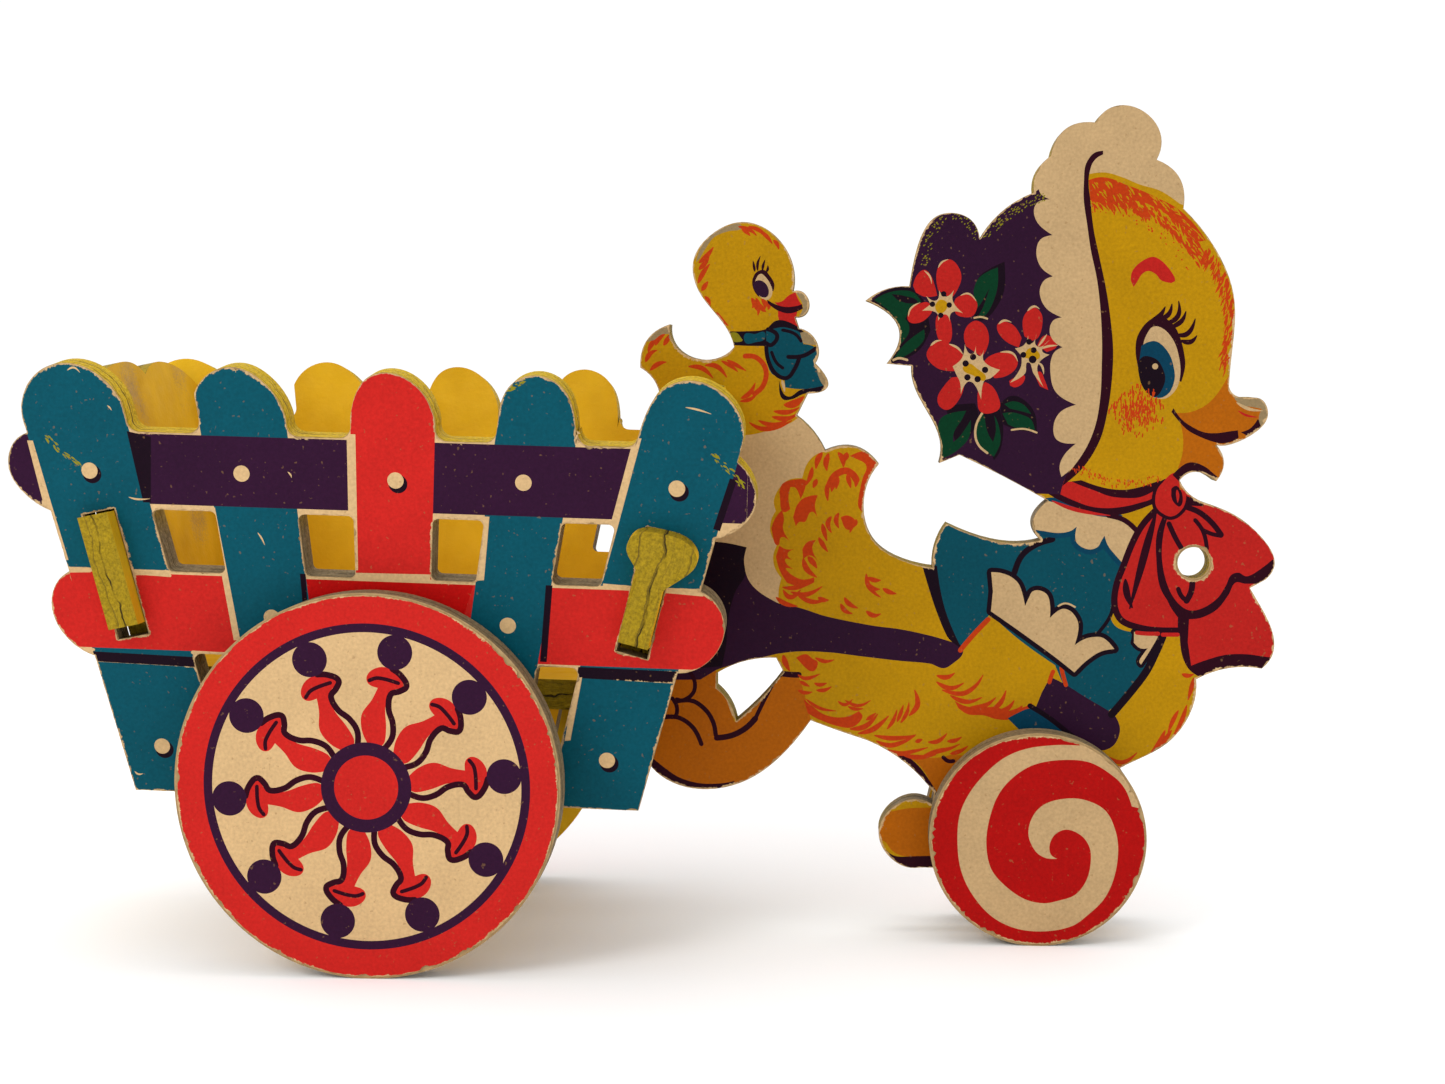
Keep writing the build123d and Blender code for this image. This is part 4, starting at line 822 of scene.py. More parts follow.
def cart_art():
    """Slats woven through two rails, drawn with nail heads, light margins and shade lines."""
    art = Art("beige")
    for index in (0, 2, 4):
        slat(art, index, -9.0, LOW_RAIL[1])
    rail(art, "red", *LOW_RAIL)
    art.fill("deep_red", [(-19, LOW_RAIL[0], 1), (12, LOW_RAIL[0], 1), (17, LOW_RAIL[1], 1),
        (-20, LOW_RAIL[1], 1)])
    for index in (1, 3):
        slat(art, index, -9.0, HEAD_TOP)
    rail(art, "purple", *TOP_RAIL)
    for u in (-90, 73):
        art.fill("purple", [(u, 44, 1), (u + 17, 44, 1), (u + 17, 80, 1), (u, 80, 1)])
    for index in (0, 2, 4):
        slat(art, index, LOW_RAIL[1] + 0.8, HEAD_TOP)
    # light margins and dark shade lines where one slat passes another
    art.fill("beige", [(-75.4, 69.2, 1), (-74.2, 69.2, 1), (-71.2, 56.8, 1), (-68, 44.2, 1), (-69.4, 44, 1),
        (-72.8, 56.6, 1)])
    art.fill("black", [(-54.4, 71.8, 1), (-49.4, 70.8, 1), (-50, 57, 1), (-51.6, 57, 1)])
    art.fill("beige", [(-37.8, 56.4, 1), (-36.6, 56.4, 1), (-32.2, 28.2, 1), (-33.6, 28.2, 1)])
    art.fill("black", [(-19.2, 43, 1), (-18, 43, 1), (-17.8, 36.6, 1), (-18.8, 36.6, 1)])
    art.fill("beige", [(-8.8, 72.6, 1), (-7, 72.6, 1), (-7, 44.2, 1), (-8.8, 44, 1)])
    art.fill("beige", [(-7.8, 43.6, 1), (8, 43.8, 1), (8, 42, 1), (-7.8, 41.9, 1)])
    art.fill("beige", [(18.4, 56.4, 1), (20.4, 56.4, 1), (19.2, 43, 1), (17.2, 42.8, 1)])
    art.fill("black", [(32, 42.4, 1), (33.4, 42.4, 1), (32.2, 26, 1), (30.8, 26, 1)])
    art.fill("beige", [(49.8, 73.6, 1), (51.4, 73.6, 1), (46, 52.2, 1), (43.8, 43.8, 1), (42.4, 43.8, 1),
        (44.4, 52.2, 1)])
    art.fill("beige", [(43.8, 43.2, 1), (64.4, 42, 1), (64.4, 41.2, 1), (43.8, 42.4, 1)])
    art.pen("beige", 0.6, [(-68.2, 41.8), (-63.6, 42)])
    art.pen("beige", 0.6, [(-56.2, 42), (-46.6, 41.6)])
    art.fill("black", [(-63.8, 24.6, 1), (-42.4, 24.2, 1), (-41.8, 22, 1), (-63.2, 22.4, 1)])
    art.fill("black", [(38.8, 25.2, 1), (59.8, 25, 1), (59, 22.4, 1), (38.4, 22.8, 1)])
    art.pen("beige", 0.6, [(-66.8, 25.2), (-63.6, 25)])
    art.pen("beige", 0.8, [(-42.4, 25.2), (-33.4, 25)])
    art.fill("beige", [(38.2, 22.8, 1), (39.6, 23, 1), (37.2, 9.2, 1), (36, 9, 1)])
    art.fill("black", [(69.4, 66, 1), (70.8, 65.6, 1), (67.6, 55, 1), (66.2, 55.4, 1)])
    # scuffs and stray spray
    chance = random.Random(9)
    for scuff, ahead in (([(-71.6, 70.4), (-68, 66.8), (-63.8, 64.2)], -42),
                         ([(65.6, 71), (69, 67.8), (72, 64.6)], -42),
                         ([(22.5, 81.4), (25, 83.2), (28.2, 84.6)], 25)):
        ticks(art, chance, scuff, "olive", 30, spread=0.5, drop=0.0, ahead=ahead, length=1.5, width=0.34)
    art.brush("beige", 0.4, [(-54.6, 58), (-52.8, 57.6), (-50.2, 57.8)], [(-66.2, 84), (-64.8, 84.6),
        (-63.6, 83.6)], [(60.2, 80.2), (62.6, 79.8), (65.4, 79)], [(-56, -1.6), (-55.2, -2.2), (-54.2, -2)])
    art.brush("beige", 0.35, [(-27.8, 51.4), (-27, 50.2), (-26.4, 48.8)], [(-58.2, 77), (-57.6, 76.4),
        (-57.4, 76)], [(-21.2, 64.4), (-20.6, 63.8), (-20.4, 63.2)])
    for u, v in ((-62.6, 63.3), (1.1, 63.3), (58.7, 63.5), (-49.8, 4.3), (44.9, 5.1)):
        nail(art, u, v, shaded=True)
    for u, v in ((-30.8, 63.7), (27.4, 63.7), (-25.4, 33.4), (24.1, 33.5)):
        nail(art, u, v, shaded=False)
    return art


def rear_wheel_art():
    """Ten turned spokes between a hub and a ring of balls."""
    art = Art("red")
    art.disc("purple", 0, 0, 0.845 * REAR_R)
    art.disc("beige", 0, 0, 0.80 * REAR_R)
    spoke = [(9.0, 1.6, 1), (11.4, 3.3), (14.6, 4.0), (18.0, 2.6), (20.7, 1.9, 1), (21.1, 4.0), (22.6, 4.6),
             (24.4, 3.4), (25.2, 1.2), (24.5, -1.5), (22.9, -3.0), (21.8, -3.3, 1), (20.3, -0.6),
             (16.9, -0.5), (13.4, -1.4), (10.3, -1.8), (9.0, -1.3, 1)]
    shade = [(8.9, -2.1), (11.5, -3.1), (14.3, -2.6), (16.9, -1.2), (20.0, -1.0), (21.0, -2.6), (22.4, -3.8),
             (24.2, -2.3), (25.2, -0.2)]
    across = [(21.8, 3.9), (22.7, 2.2), (22.6, -2.0)]
    for k in range(10):
        angle = math.radians(5.0 + 36 * k)
        turned = [[(r * math.cos(angle) - w * math.sin(angle), r * math.sin(angle) + w * math.cos(angle), *s)
                   for r, w, *s in path] for path in (spoke, shade, across)]
        art.fill("red", turned[0])
        art.pen("maroon", 1.25, turned[1])
        art.pen("maroon", 0.8, turned[2])
        art.disc("purple", 28.6 * math.cos(angle), 28.6 * math.sin(angle), 3.6)
    art.disc("purple", 0, 0, 0.234 * REAR_R)
    art.disc("red", 0, 0, 0.166 * REAR_R)
    return art


def front_wheel_art():
    """One long spiral band that widens from a hooked tip."""
    # the front wheels' sheet takes its painted shade here
    art = Art("deep_red", FRONT_WHEEL_PAINTED_SHADE)
    art.fill("beige", [(4.2, -4, 1), (1.6, -3.8), (-0.6, -2.2), (-2, 1.4), (-1, 5.4), (1.6, 8), (6.2, 9.2),
        (10.4, 8.8), (14.4, 6.6), (16.6, 2.2), (17.2, -2.4), (16.4, -8), (14.4, -12.6), (11.2, -16),
        (7.4, -18.8), (1.4, -20), (-4.6, -19.4), (-9.8, -16.8), (-14, -12), (-16.4, -6.8), (-17.2, -1),
        (-16.8, 5.2), (-14.8, 10), (-11.4, 14.4), (-7.2, 18), (-2.4, 20), (3.6, 20.8), (7.8, 20.8),
        (11.2, 20.6, 1), (16.4, 16.2), (19.8, 11.6), (21.6, 7.2, 1), (20, 7.6, 1), (18.6, 11.2),
        (16.4, 13.8), (11.2, 17), (5.6, 17.6), (-0.6, 16.6), (-5, 14), (-8.4, 10), (-10.4, 4.4), (-11, -1),
        (-10, -6.2), (-7.4, -9.6), (-3, -12.8), (1.2, -13.8), (4.6, -13.2), (8.2, -11.8), (10.6, -8.4),
        (11.4, -4.2), (11, -1.2), (9.2, 1.2), (6.2, 2.4), (3.8, 1.4), (2.6, -0.8), (2.8, -3)])
    return art


# ---------------------------------------------------------------- printed sheets


class Plane:
    """A flat sheet in the row frame: art places (s, t) in mm become points in metres."""

    def __init__(self, origin, s_axis, t_axis, outward, side):
        flip = Vector((1.0, side, 1.0))
        self.origin = Vector(origin) * flip
        self.s_axis, self.t_axis, self.outward = (Vector(a) * flip for a in (s_axis, t_axis, outward))

    def point(self, s, t, depth=0.0):
        return (self.origin + self.s_axis * s + self.t_axis * t - self.outward * depth) * MM

    def flat(self, co):
        gap = co / MM - self.origin
        return gap.dot(self.s_axis), gap.dot(self.t_axis), -gap.dot(self.outward)


def upright_plane(x, z, face, side):
    """The plane of a print that stands upright, at that distance from the centre plane."""
    return Plane((x, -face, z), (1, 0, 0), (0, 0, 1), (0, -1, 0), side)


def cart_plane(side):
    """The outer face of a cart side, which leans out at the top and pitches with the cart."""
    pitch = Matrix.Rotation(CART_PITCH, 3, "Y")
    s_axis = pitch @ Vector((1, 0, 0))
    t_axis = pitch @ Vector((0, -math.sin(LEAN), math.cos(LEAN)))
    outward = pitch @ Vector((0, -math.cos(LEAN), -math.sin(LEAN)))
    origin = Vector(CART_ORIGIN) + pitch @ Vector((0, -SIDE_HALF, 0)) + outward * PAPER
    return Plane(origin, s_axis, t_axis, outward, side)


def outline_rings(node, plane):
    """The closed outlines of a CAD sheet's outer face, as arrays of (s, t) in mm."""
    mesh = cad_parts[node].data
    uses, places = {}, {}
    def key(index):
        s, t, _ = plane.flat(mesh.vertices[index].co)
        name = (round(s, 3), round(t, 3))
        places[name] = (s, t)
        return name
    for face in mesh.polygons:
        if face.normal.dot(plane.outward) < 0.99:
            continue
        names = [key(i) for i in face.vertices]
        for a, b in zip(names, names[1:] + names[:1]):
            if a != b:
                edge = (min(a, b), max(a, b))
                uses[edge] = uses.get(edge, 0) + 1
    links = {}
    for (a, b), count in uses.items():
        if count == 1:
            links.setdefault(a, []).append(b)
            links.setdefault(b, []).append(a)
    rings, seen = [], set()
    for start in sorted(links):
        if start in seen:
            continue
        ring, here = [], start
        while here is not None:
            seen.add(here)
            ring.append(places[here])
            here = next((n for n in links[here] if n not in seen), None)
        rings.append(np.array(ring))
    return rings


def evenly(ring):
    """The ring with points no more than STEP apart."""
    dense = []
    for a, b in zip(ring, np.roll(ring, -1, 0)):
        steps = max(1, math.ceil(np.linalg.norm(b - a) / STEP))
        dense += [a + (b - a) * k / steps for k in range(steps)]
    return np.array(dense)


def inward(ring, all_rings):
    """Unit directions from each ring point into the sheet."""
    ahead = np.roll(ring, -1, 0) - np.roll(ring, 1, 0)
    ahead /= np.linalg.norm(ahead, axis=1)[:, None] + 1e-9
    across = np.stack([-ahead[:, 1], ahead[:, 0]], 1)
    probe = ring + across * 0.05
    within = np.zeros(len(ring), bool)
    for other in all_rings:
        within ^= inside(probe, other)
    across[~within] *= -1
    return across


def chip_depths(ring, chance, rate, deepest):
    """How far the printed paper has worn back from the cut edge, in mm, around a ring."""
    steps = np.linalg.norm(np.roll(ring, -1, 0) - ring, axis=1)
    along = np.concatenate([[0], np.cumsum(steps)[:-1]])
    total = steps.sum()
    depth = np.array([0.03 + 0.07 * chance.random() for _ in ring])
    for _ in range(int(total * rate)):
        centre = chance.uniform(0, total)
        half = chance.uniform(0.3, 1.5)
        bite = deepest * chance.random() ** 2
        gap = np.abs(along - centre)
        gap = np.minimum(gap, total - gap)
        shape = np.clip(1 - gap / half, 0, 1) ** 0.5
        depth = np.maximum(depth, bite * shape * np.array([0.75 + 0.25 * chance.random() for _ in ring]))
    return depth


def triangulate(rings, extra_lines, extra_points):
    """Triangles that fill the rings, with the extra lines among their edges."""
    points, edges = [], []
    for line, closed in [(r, True) for r in rings] + extra_lines:
        first = len(points)
        points += [Vector(p) for p in line]
        last = len(points) - 1
        edges += [(i, i + 1) for i in range(first, last)]
        if closed:
            edges.append((last, first))
    points += [Vector(p) for p in extra_points]
    verts, _, faces, *_ = delaunay_2d_cdt(points, edges, [], 0, 1e-4)
    verts = np.array([v[:] for v in verts])
    faces = np.array(faces)
    middles = verts[faces].mean(1)
    keep = np.zeros(len(faces), bool)
    for ring in rings:
        keep ^= inside(middles, ring)
    return verts, faces[keep], middles[keep]


def printed_sheet(name, node, plane, art, body, seed, rate=0.12, deepest=0.8):
    """A printed paper facing in place of a CAD sheet: inked areas, worn outline and paper thickness."""
    chance = random.Random(seed)
    cut = [evenly(ring) for ring in outline_rings(node, plane)]
    worn = [ring + inward(ring, cut) * chip_depths(ring, chance, rate, deepest)[:, None] for ring in cut]
    starts = np.concatenate(cut)
    ends = np.concatenate([np.roll(ring, -1, 0) for ring in cut])
    inner = []
    for reach in (0.7, 1.6):
        for ring in cut:
            line = (ring + inward(ring, cut) * reach)[::2]
            inner.append(line[distance(line, starts, ends) > reach * 0.93])
    lines = [(outline, True) for _, outline in art.areas]
    lines = [(line, closed) for line, closed in lines if len(line) > 2]
    verts, faces, middles = triangulate(worn, lines, np.concatenate(inner))
    ink = np.tile(np.array(INKS[art.base]), (len(faces), 1))
    for colour, outline in art.areas:
        low, high = outline.min(0), outline.max(0)
        near = np.nonzero(((middles > low) & (middles < high)).all(1))[0]
        hit = near[inside(middles[near], outline)]
        ink[hit] = INKS[colour]
    # painted shade: each sheet's inks darkened by its tone
    ink[:, :3] *= art.tone
    used = np.unique(faces)
    order = np.full(len(verts), -1)
    order[used] = np.arange(len(used))
    verts, faces = verts[used], order[faces]
    edge = distance(verts, starts, ends)
    sides = {}
    for face in faces:
        for a, b in zip(face, np.roll(face, -1)):
            sides[(a, b)] = sides.get((a, b), 0) + 1
    rim = [(a, b) for a, b in sides if (b, a) not in sides]
    front = [plane.point(s, t) for s, t in verts]
    below = {}
    for a, b in rim:
        for index in (a, b):
            if index not in below:
                below[index] = len(front) + len(below)
    back = [plane.point(*verts[index], PAPER) for index in below]
    turned = plane.s_axis.cross(plane.t_axis).dot(plane.outward) < 0
    polygons = [tuple(int(i) for i in (f[::-1] if turned else f)) for f in faces]
    walls = [(a, below[a], below[b], b) if not turned else (b, below[b], below[a], a) for a, b in rim]
    polygons += [tuple(int(i) for i in wall) for wall in walls]
    mesh = bpy.data.meshes.new(name)
    mesh.from_pydata(front + back, [], polygons)
    colours = mesh.color_attributes.new("ink", "FLOAT_COLOR", "CORNER")
    paper = np.array(srgb(170, 142, 104))
    per_face = np.concatenate([np.repeat(ink, 3, 0), np.tile(paper, (4 * len(walls), 1))])
    colours.data.foreach_set("color", per_face.astype(np.float32).ravel())
    reach = mesh.attributes.new("edge", "FLOAT", "POINT")
    reach.data.foreach_set("value", np.concatenate([edge, np.zeros(len(back))]).astype(np.float32))
    mesh.materials.append(MATERIALS["print"])
    piece = bpy.data.objects.new(name, mesh)
    bpy.context.scene.collection.objects.link(piece)
    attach(piece, body)
    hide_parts(node)
    return piece


# ---------------------------------------------------------------- materials


class Shader:
    """A material under construction, with short calls for its nodes."""

    def __init__(self, name):
        self.material = bpy.data.materials.new(name)
        self.material.use_nodes = True
        self.tree = self.material.node_tree
        self.surface = self.tree.nodes["Principled BSDF"]
        self.coords = self.node("ShaderNodeTexCoord").outputs["Object"]

    def node(self, kind, **settings):
        made = self.tree.nodes.new(kind)
        for key, value in settings.items():
            setattr(made, key, value)
        return made

    def feed(self, socket, value):
        if isinstance(value, bpy.types.NodeSocket):
            self.tree.links.new(value, socket)
        else:
            socket.default_value = value

    def noise(self, scale, detail=3.0, stretch=None, rough=0.5):
        """Noise at that many features per metre, from 0 to 1."""
        made = self.node("ShaderNodeTexNoise")
        source = self.coords
        if stretch:
            mapping = self.node("ShaderNodeMapping")
            mapping.inputs["Scale"].default_value = stretch
            self.feed(mapping.inputs["Vector"], source)
            source = mapping.outputs["Vector"]
        self.feed(made.inputs["Vector"], source)
        made.inputs["Scale"].default_value = scale
        made.inputs["Detail"].default_value = detail
        made.inputs["Roughness"].default_value = rough
        return made.outputs[0]

    def remap(self, value, low, high, to_low=0.0, to_high=1.0):
        made = self.node("ShaderNodeMapRange")
        self.feed(made.inputs["Value"], value)
        for key, number in (("From Min", low), ("From Max", high), ("To Min", to_low), ("To Max", to_high)):
            self.feed(made.inputs[key], number)
        return made.outputs["Result"]

    def maths(self, operation, a, b=0.0):
        made = self.node("ShaderNodeMath", operation=operation)
        self.feed(made.inputs[0], a)
        self.feed(made.inputs[1], b)
        return made.outputs[0]

    def blend(self, factor, a, b, kind="MIX"):
        made = self.node("ShaderNodeMix", data_type="RGBA", blend_type=kind)
        for index, value in ((0, factor), (6, a), (7, b)):
            self.feed(made.inputs[index], value)
        return made.outputs[2]

    def dot(self, value, direction):
        made = self.node("ShaderNodeVectorMath", operation="DOT_PRODUCT")
        self.feed(made.inputs[0], value)
        made.inputs[1].default_value = direction
        return made.outputs["Value"]

    def bump(self, height, distance_mm, strength=1.0):
        made = self.node("ShaderNodeBump")
        made.inputs["Distance"].default_value = distance_mm * MM
        made.inputs["Strength"].default_value = strength
        self.feed(made.inputs["Height"], height)
        self.feed(self.surface.inputs["Normal"], made.outputs["Normal"])

    def finish(self, colour, roughness, specular=0.4):
        self.feed(self.surface.inputs["Base Color"], colour)
        self.feed(self.surface.inputs["Roughness"], roughness)
        self.surface.inputs["Specular IOR Level"].default_value = specular
        return self.material


def print_material():
    """Inked paper, varnished thinly: mottled ink, pale flecks, and paper showing where the edge is worn."""
    sh = Shader("printed_paper")
    ink = sh.node("ShaderNodeAttribute", attribute_name="ink").outputs["Color"]
    edge = sh.node("ShaderNodeAttribute", attribute_name="edge").outputs["Fac"]
    tone = sh.node("ShaderNodeHueSaturation")
    mottle = sh.maths("ADD", sh.remap(sh.noise(90, 3), 0.3, 0.7, -0.05, 0.05),
                      sh.remap(sh.noise(1500, 2), 0.25, 0.75, 0.88, 1.12))
    sh.feed(tone.inputs["Value"], mottle)
    sh.feed(tone.inputs["Color"], ink)
    colour = tone.outputs["Color"]
    fleck = sh.remap(sh.noise(1100, 1), 0.71, 0.77, 0.0, 0.4)
    colour = sh.blend(fleck, colour, srgb(132, 98, 60))
    pinhole = sh.remap(sh.noise(900, 4, rough=0.7), 0.76, 0.80, 0.0, 0.45)
    colour = sh.blend(pinhole, colour, srgb(190, 160, 120))
    ragged = sh.noise(620, 5, rough=0.75)
    spread = sh.remap(sh.noise(70, 2), 0.35, 0.68, 0.10, 0.95)
    limit = sh.maths("MULTIPLY", sh.remap(ragged, 0.35, 0.72, 0.0, 1.15), spread)
    worn = sh.remap(sh.maths("SUBTRACT", sh.maths("ADD", limit, 0.06), edge), -0.05, 0.06)
    core = sh.blend(sh.remap(sh.noise(900, 4), 0.3, 0.7), srgb(200, 168, 122), srgb(158, 128, 88))
    colour = sh.blend(worn, colour, core)
    rough = sh.remap(sh.noise(380, 4), 0.3, 0.7, 0.42, 0.56)
    rough = sh.maths("ADD", rough, sh.maths("MULTIPLY", worn, 0.25))
    height = sh.maths("ADD", sh.maths("MULTIPLY", sh.noise(1300, 4, rough=0.6), 0.5),
                      sh.maths("MULTIPLY", worn, -0.8))
    sh.bump(height, 0.05, 0.55)
    return sh.finish(colour, rough, 0.05)


def fibreboard_material(name, normal, node, face_spray, edge_spray, edge_tone=(132, 114, 84), **where):
    """Pressed fibreboard with a layered, split cut edge. Yellow spray lies over parts of it.

    covered says that the outward face is under a print and took no spray. spray_above is the height in
    metres above which the cut edges took spray, and spray_tone lightens that spray."""
    sh = Shader(name)
    normal = Vector(normal).normalized()
    depths = [v.co.dot(normal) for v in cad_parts[node].data.vertices]
    middle = (min(depths) + max(depths)) / 2
    across = sh.dot(sh.coords, normal)
    facing = sh.dot(sh.node("ShaderNodeTexCoord").outputs["Normal"], normal)
    on_edge = sh.remap(sh.maths("ABSOLUTE", facing), 0.55, 0.80, 1.0, 0.0)
    wander = sh.remap(sh.noise(160, 3), 0.2, 0.8, -0.0011, 0.0011)
    layer = sh.node("ShaderNodeTexNoise", noise_dimensions="1D")
    sh.feed(layer.inputs["W"], sh.maths("ADD", across, wander))
    layer.inputs["Scale"].default_value = 1100
    layer.inputs["Detail"].default_value = 4
    layers = layer.outputs[0]
    off_centre = sh.maths("ABSOLUTE", sh.maths("ADD", sh.maths("SUBTRACT", across, middle), wander))
    broken = sh.remap(sh.noise(120, 2), 0.42, 0.56)
    split = sh.maths("MULTIPLY", sh.remap(off_centre, 0.00008, 0.00022, 1.0, 0.0), broken)
    fibre = sh.noise(1500, 5, rough=0.7)
    raw_light = srgb(*(min(255, c * 1.18) for c in edge_tone))
    raw_dark = srgb(*(c * 0.68 for c in edge_tone))
    raw_edge = sh.blend(sh.remap(fibre, 0.3, 0.7), raw_dark, raw_light)
    raw_face = sh.blend(sh.remap(sh.noise(700, 4), 0.3, 0.7), srgb(168, 140, 98), srgb(146, 120, 80))
    face_spray_colour = sh.blend(sh.remap(sh.noise(60, 4), 0.3, 0.7), srgb(224, 178, 30), srgb(196, 150, 12))
    tone = where.get("spray_tone", 1.0)
    dark_spray, light_spray = (srgb(*(tone * c for c in spray)) for spray in ((116, 96, 4), (172, 142, 10)))
    edge_spray_colour = sh.blend(sh.remap(fibre, 0.3, 0.7), dark_spray, light_spray)
    dust = sh.noise(2200, 3, rough=0.8)
    patches = sh.maths("ADD", sh.maths("MULTIPLY", sh.noise(45, 3), 0.7), sh.maths("MULTIPLY", dust, 0.3))
    def cover(amount):
        start = 0.72 - 0.46 * amount
        return sh.remap(patches, start - 0.06, start + 0.06)
    face_cover, edge_cover = cover(face_spray), sh.maths("MULTIPLY", cover(edge_spray), 0.96)
    if where.get("covered"):
        outward = sh.maths("MULTIPLY", facing, sh.maths("SIGN", across))
        face_cover = sh.maths("MULTIPLY", face_cover, sh.remap(outward, -0.1, 0.1, 1.0, 0.0))
    if "spray_above" in where:
        height = sh.node("ShaderNodeSeparateXYZ")
        sh.feed(height.inputs[0], sh.coords)
        above = sh.remap(height.outputs[2], where["spray_above"] - 0.006, where["spray_above"] + 0.006)
        edge_cover = sh.maths("MULTIPLY", edge_cover, above)
    face = sh.blend(face_cover, raw_face, face_spray_colour)
    rim = sh.blend(edge_cover, raw_edge, edge_spray_colour)
    rim = sh.blend(sh.remap(layers, 0.30, 0.42, 0.62, 0.0), rim, srgb(64, 48, 22))
    rim = sh.blend(sh.maths("MULTIPLY", split, 0.9), rim, srgb(30, 20, 8))
    colour = sh.blend(on_edge, face, rim)
    relief = sh.maths("ADD", sh.maths("MULTIPLY", fibre, 0.5), sh.maths("MULTIPLY", layers, 0.9))
    relief = sh.maths("SUBTRACT", relief, split)
    height = sh.node("ShaderNodeMix", data_type="FLOAT")
    sh.feed(height.inputs[0], on_edge)
    sh.feed(height.inputs[2], sh.maths("MULTIPLY", sh.noise(1100, 4), 0.22))
    sh.feed(height.inputs[3], relief)
    sh.bump(height.outputs[0], 0.4, 0.9)
    rough = sh.remap(sh.noise(300, 3), 0.3, 0.7, 0.62, 0.82)
    return sh.finish(colour, rough, 0.15)


def dowel_material():
    """Plain birch dowel, grain along the axle."""
    sh = Shader("birch_dowel")
    grain = sh.noise(900, 5, stretch=(1.0, 0.06, 1.0), rough=0.65)
    colour = sh.blend(sh.remap(grain, 0.3, 0.7), srgb(206, 176, 130), srgb(164, 128, 84))
    pores = sh.remap(sh.noise(2600, 2, stretch=(1.0, 0.04, 1.0)), 0.62, 0.72, 0.0, 0.6)
    colour = sh.blend(pores, colour, srgb(112, 82, 50))
    sh.bump(grain, 0.12, 0.6)
    return sh.finish(colour, sh.remap(grain, 0.2, 0.8, 0.5, 0.7), 0.3)


def floor_material():
    """A pale sweep, very slightly mottled."""
    sh = Shader("pale_sweep")
    colour = sh.blend(sh.remap(sh.noise(6, 3), 0.3, 0.7), srgb(254, 254, 254), srgb(252, 252, 252))
    return sh.finish(colour, sh.remap(sh.noise(20, 2), 0.3, 0.7, 0.85, 0.95), 0.1)


def cart_normal(side):
    """The outward direction of a leaning cart side."""
    return cart_plane(side).outward


def end_normal(tilt):
    """The direction across an end board, which leans by tilt degrees and pitches with the cart."""
    return Matrix.Rotation(CART_PITCH + math.radians(tilt), 3, "Y") @ Vector((1, 0, 0))


END_TILT = 13.2
RIM_TOP = 0.097       # height in metres above which the cart sides' cut edges were sprayed
MATERIALS = {"print": print_material(), "sweep": floor_material()}
BOARDS = {
    "duck_board": dict(normal=(0, 1, 0), face_spray=0.1, edge_spray=0.5),
    "cart_side_right": dict(normal=cart_normal(1.0), face_spray=0.95, edge_spray=0.98, covered=True,
                            spray_above=RIM_TOP, spray_tone=1.28),
    "cart_side_left": dict(normal=cart_normal(-1.0), face_spray=0.95, edge_spray=0.98, covered=True,
                           spray_above=RIM_TOP, spray_tone=1.28),
    "cart_front": dict(normal=end_normal(END_TILT), face_spray=0.9, edge_spray=0.85),
    "cart_back": dict(normal=end_normal(-END_TILT), face_spray=0.74, edge_spray=0.98),
    "cart_floor": dict(normal=end_normal(90), face_spray=0.92, edge_spray=0.8),
    "rear_wheel_right": dict(normal=(0, 1, 0), face_spray=0.9, edge_spray=0.0, covered=True),
    "rear_wheel_left": dict(normal=(0, 1, 0), face_spray=0.9, edge_spray=0.0, covered=True),
    "front_wheel_right": dict(normal=(0, 1, 0), face_spray=0.9, edge_spray=0.0, covered=True),
    "front_wheel_left": dict(normal=(0, 1, 0), face_spray=0.9, edge_spray=0.0, covered=True),
}


def dress(node, material):
    """Give a CAD node one material all over."""
    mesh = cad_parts[node].data
    for index in range(len(mesh.materials)):
        mesh.materials[index] = material


def dress_cad_nodes():
    """Every CAD node that stays in view takes its own detailed finish."""
    for node, look in BOARDS.items():
        dress(node, fibreboard_material(f"{node}_fibreboard", node=node, **look))
    birch = dowel_material()
    for node in ("rear_axle", "front_axle"):
        dress(node, birch)


def print_everything():
    """A printed facing on each outer face of the duck, the cart sides and the wheels."""
    duck, cart, rear, front = duck_art(), cart_art(), rear_wheel_art(), front_wheel_art()
    for number, (name, side) in enumerate(SIDES.items()):
        printed_sheet(f"duck_picture_{name}", f"duck_print_{name}",
                      upright_plane(0, 0, DUCK_FACE, side), duck, "toy", 11 + number)
        printed_sheet(f"cart_side_picture_{name}", f"cart_side_print_{name}",
                      cart_plane(side), cart, "toy", 21 + number)
        printed_sheet(f"rear_wheel_picture_{name}", f"rear_wheel_print_{name}",
                      upright_plane(*REAR_CENTRE, REAR_FACE, side), rear, "rear_wheels",
                      31 + number, rate=0.3, deepest=1.0)
        printed_sheet(f"front_wheel_picture_{name}", f"front_wheel_print_{name}",
                      upright_plane(*FRONT_CENTRE, FRONT_FACE, side), front, "front_wheels",
                      41 + number, rate=0.4, deepest=1.0)


# ---------------------------------------------------------------- stage


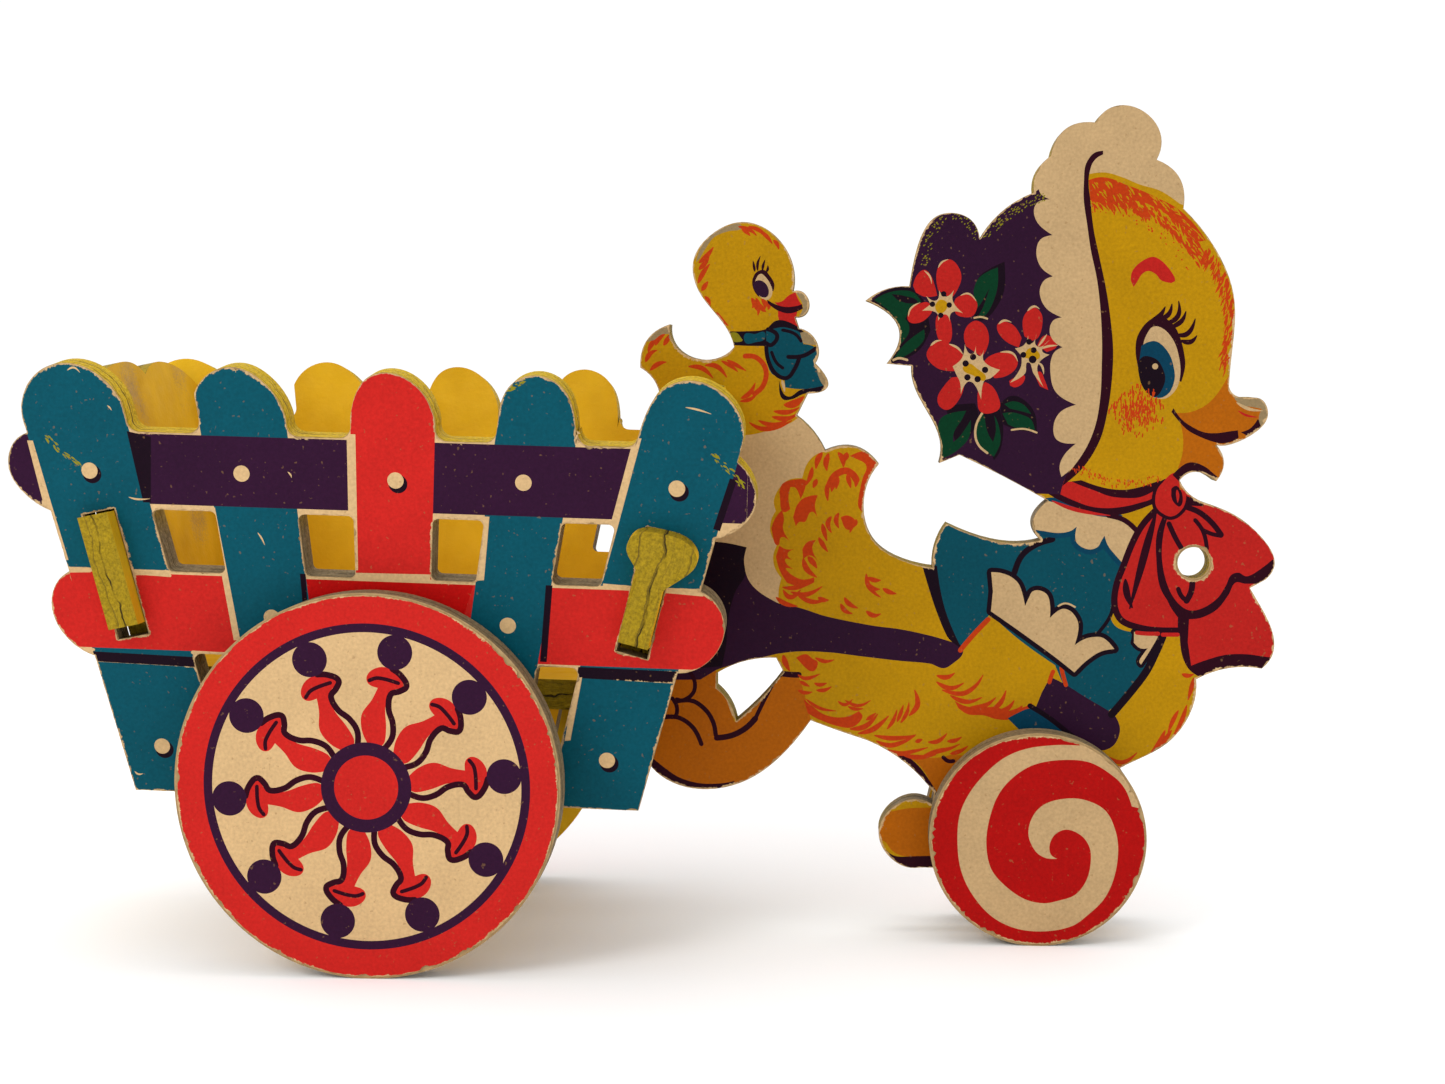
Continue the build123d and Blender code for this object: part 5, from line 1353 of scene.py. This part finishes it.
def lay_floor():
    """A wide pale sweep under the toy."""
    half, cells = 3.0, 24
    steps = [-half + 2 * half * k / cells for k in range(cells + 1)]
    verts = [(x, y, 0.0) for y in steps for x in steps]
    row = cells + 1
    faces = [(j * row + i, j * row + i + 1, (j + 1) * row + i + 1, (j + 1) * row + i)
             for j in range(cells) for i in range(cells)]
    mesh = bpy.data.meshes.new("sweep")
    mesh.from_pydata(verts, [], faces)
    mesh.materials.append(MATERIALS["sweep"])
    sweep = bpy.data.objects.new("sweep", mesh)
    bpy.context.scene.collection.objects.link(sweep)


def soft_light(name, place, target, size, power):
    """A round area light, its size in metres and its power in watts."""
    data = bpy.data.lights.new(name, "AREA")
    data.shape = "DISK"
    data.size = size
    data.energy = power
    lamp = bpy.data.objects.new(name, data)
    lamp.location = place
    lamp.rotation_euler = (Vector(target) - Vector(place)).to_track_quat("-Z", "Y").to_euler()
    bpy.context.scene.collection.objects.link(lamp)


def light_stage():
    """Even white surroundings with a soft key from the upper left."""
    world = bpy.data.worlds.new("studio")
    world.use_nodes = True
    background = world.node_tree.nodes["Background"]
    background.inputs["Color"].default_value = (1.0, 1.0, 1.0, 1.0)
    background.inputs["Strength"].default_value = WORLD_STRENGTH
    bpy.context.scene.world = world
    soft_light("key", (-0.50, -0.62, 0.62), (-0.06, 0, 0.07), 0.40, 2.6)
    soft_light("top", (0.0, 0.05, 1.0), (0, 0, 0.05), 0.5, 1.6)


def aim_camera():
    """The camera, in front of the toy's right side and a little above it."""
    yaw, pitch, roll = CAMERA_YAW, CAMERA_PITCH, CAMERA_ROLL
    forward = Vector((-math.sin(yaw) * math.cos(pitch), math.cos(yaw) * math.cos(pitch), -math.sin(pitch)))
    level = Vector((math.cos(yaw), math.sin(yaw), 0.0))
    upward = level.cross(forward)
    right = math.cos(roll) * level + math.sin(roll) * upward
    upward = math.cos(roll) * upward - math.sin(roll) * level
    turn = Matrix((right, upward, -forward)).transposed().to_4x4()
    data = bpy.data.cameras.new("camera")
    data.lens = CAMERA_LENS
    data.sensor_width = 36.0
    data.clip_start = 0.01
    camera = bpy.data.objects.new("camera", data)
    camera.matrix_world = Matrix.Translation(Vector(CAMERA_PLACE) * MM) @ turn
    bpy.context.scene.collection.objects.link(camera)
    bpy.context.scene.camera = camera


bpy.context.scene.view_settings.view_transform = "Standard"
dress_cad_nodes()
print_everything()
lay_floor()
light_stage()
aim_camera()
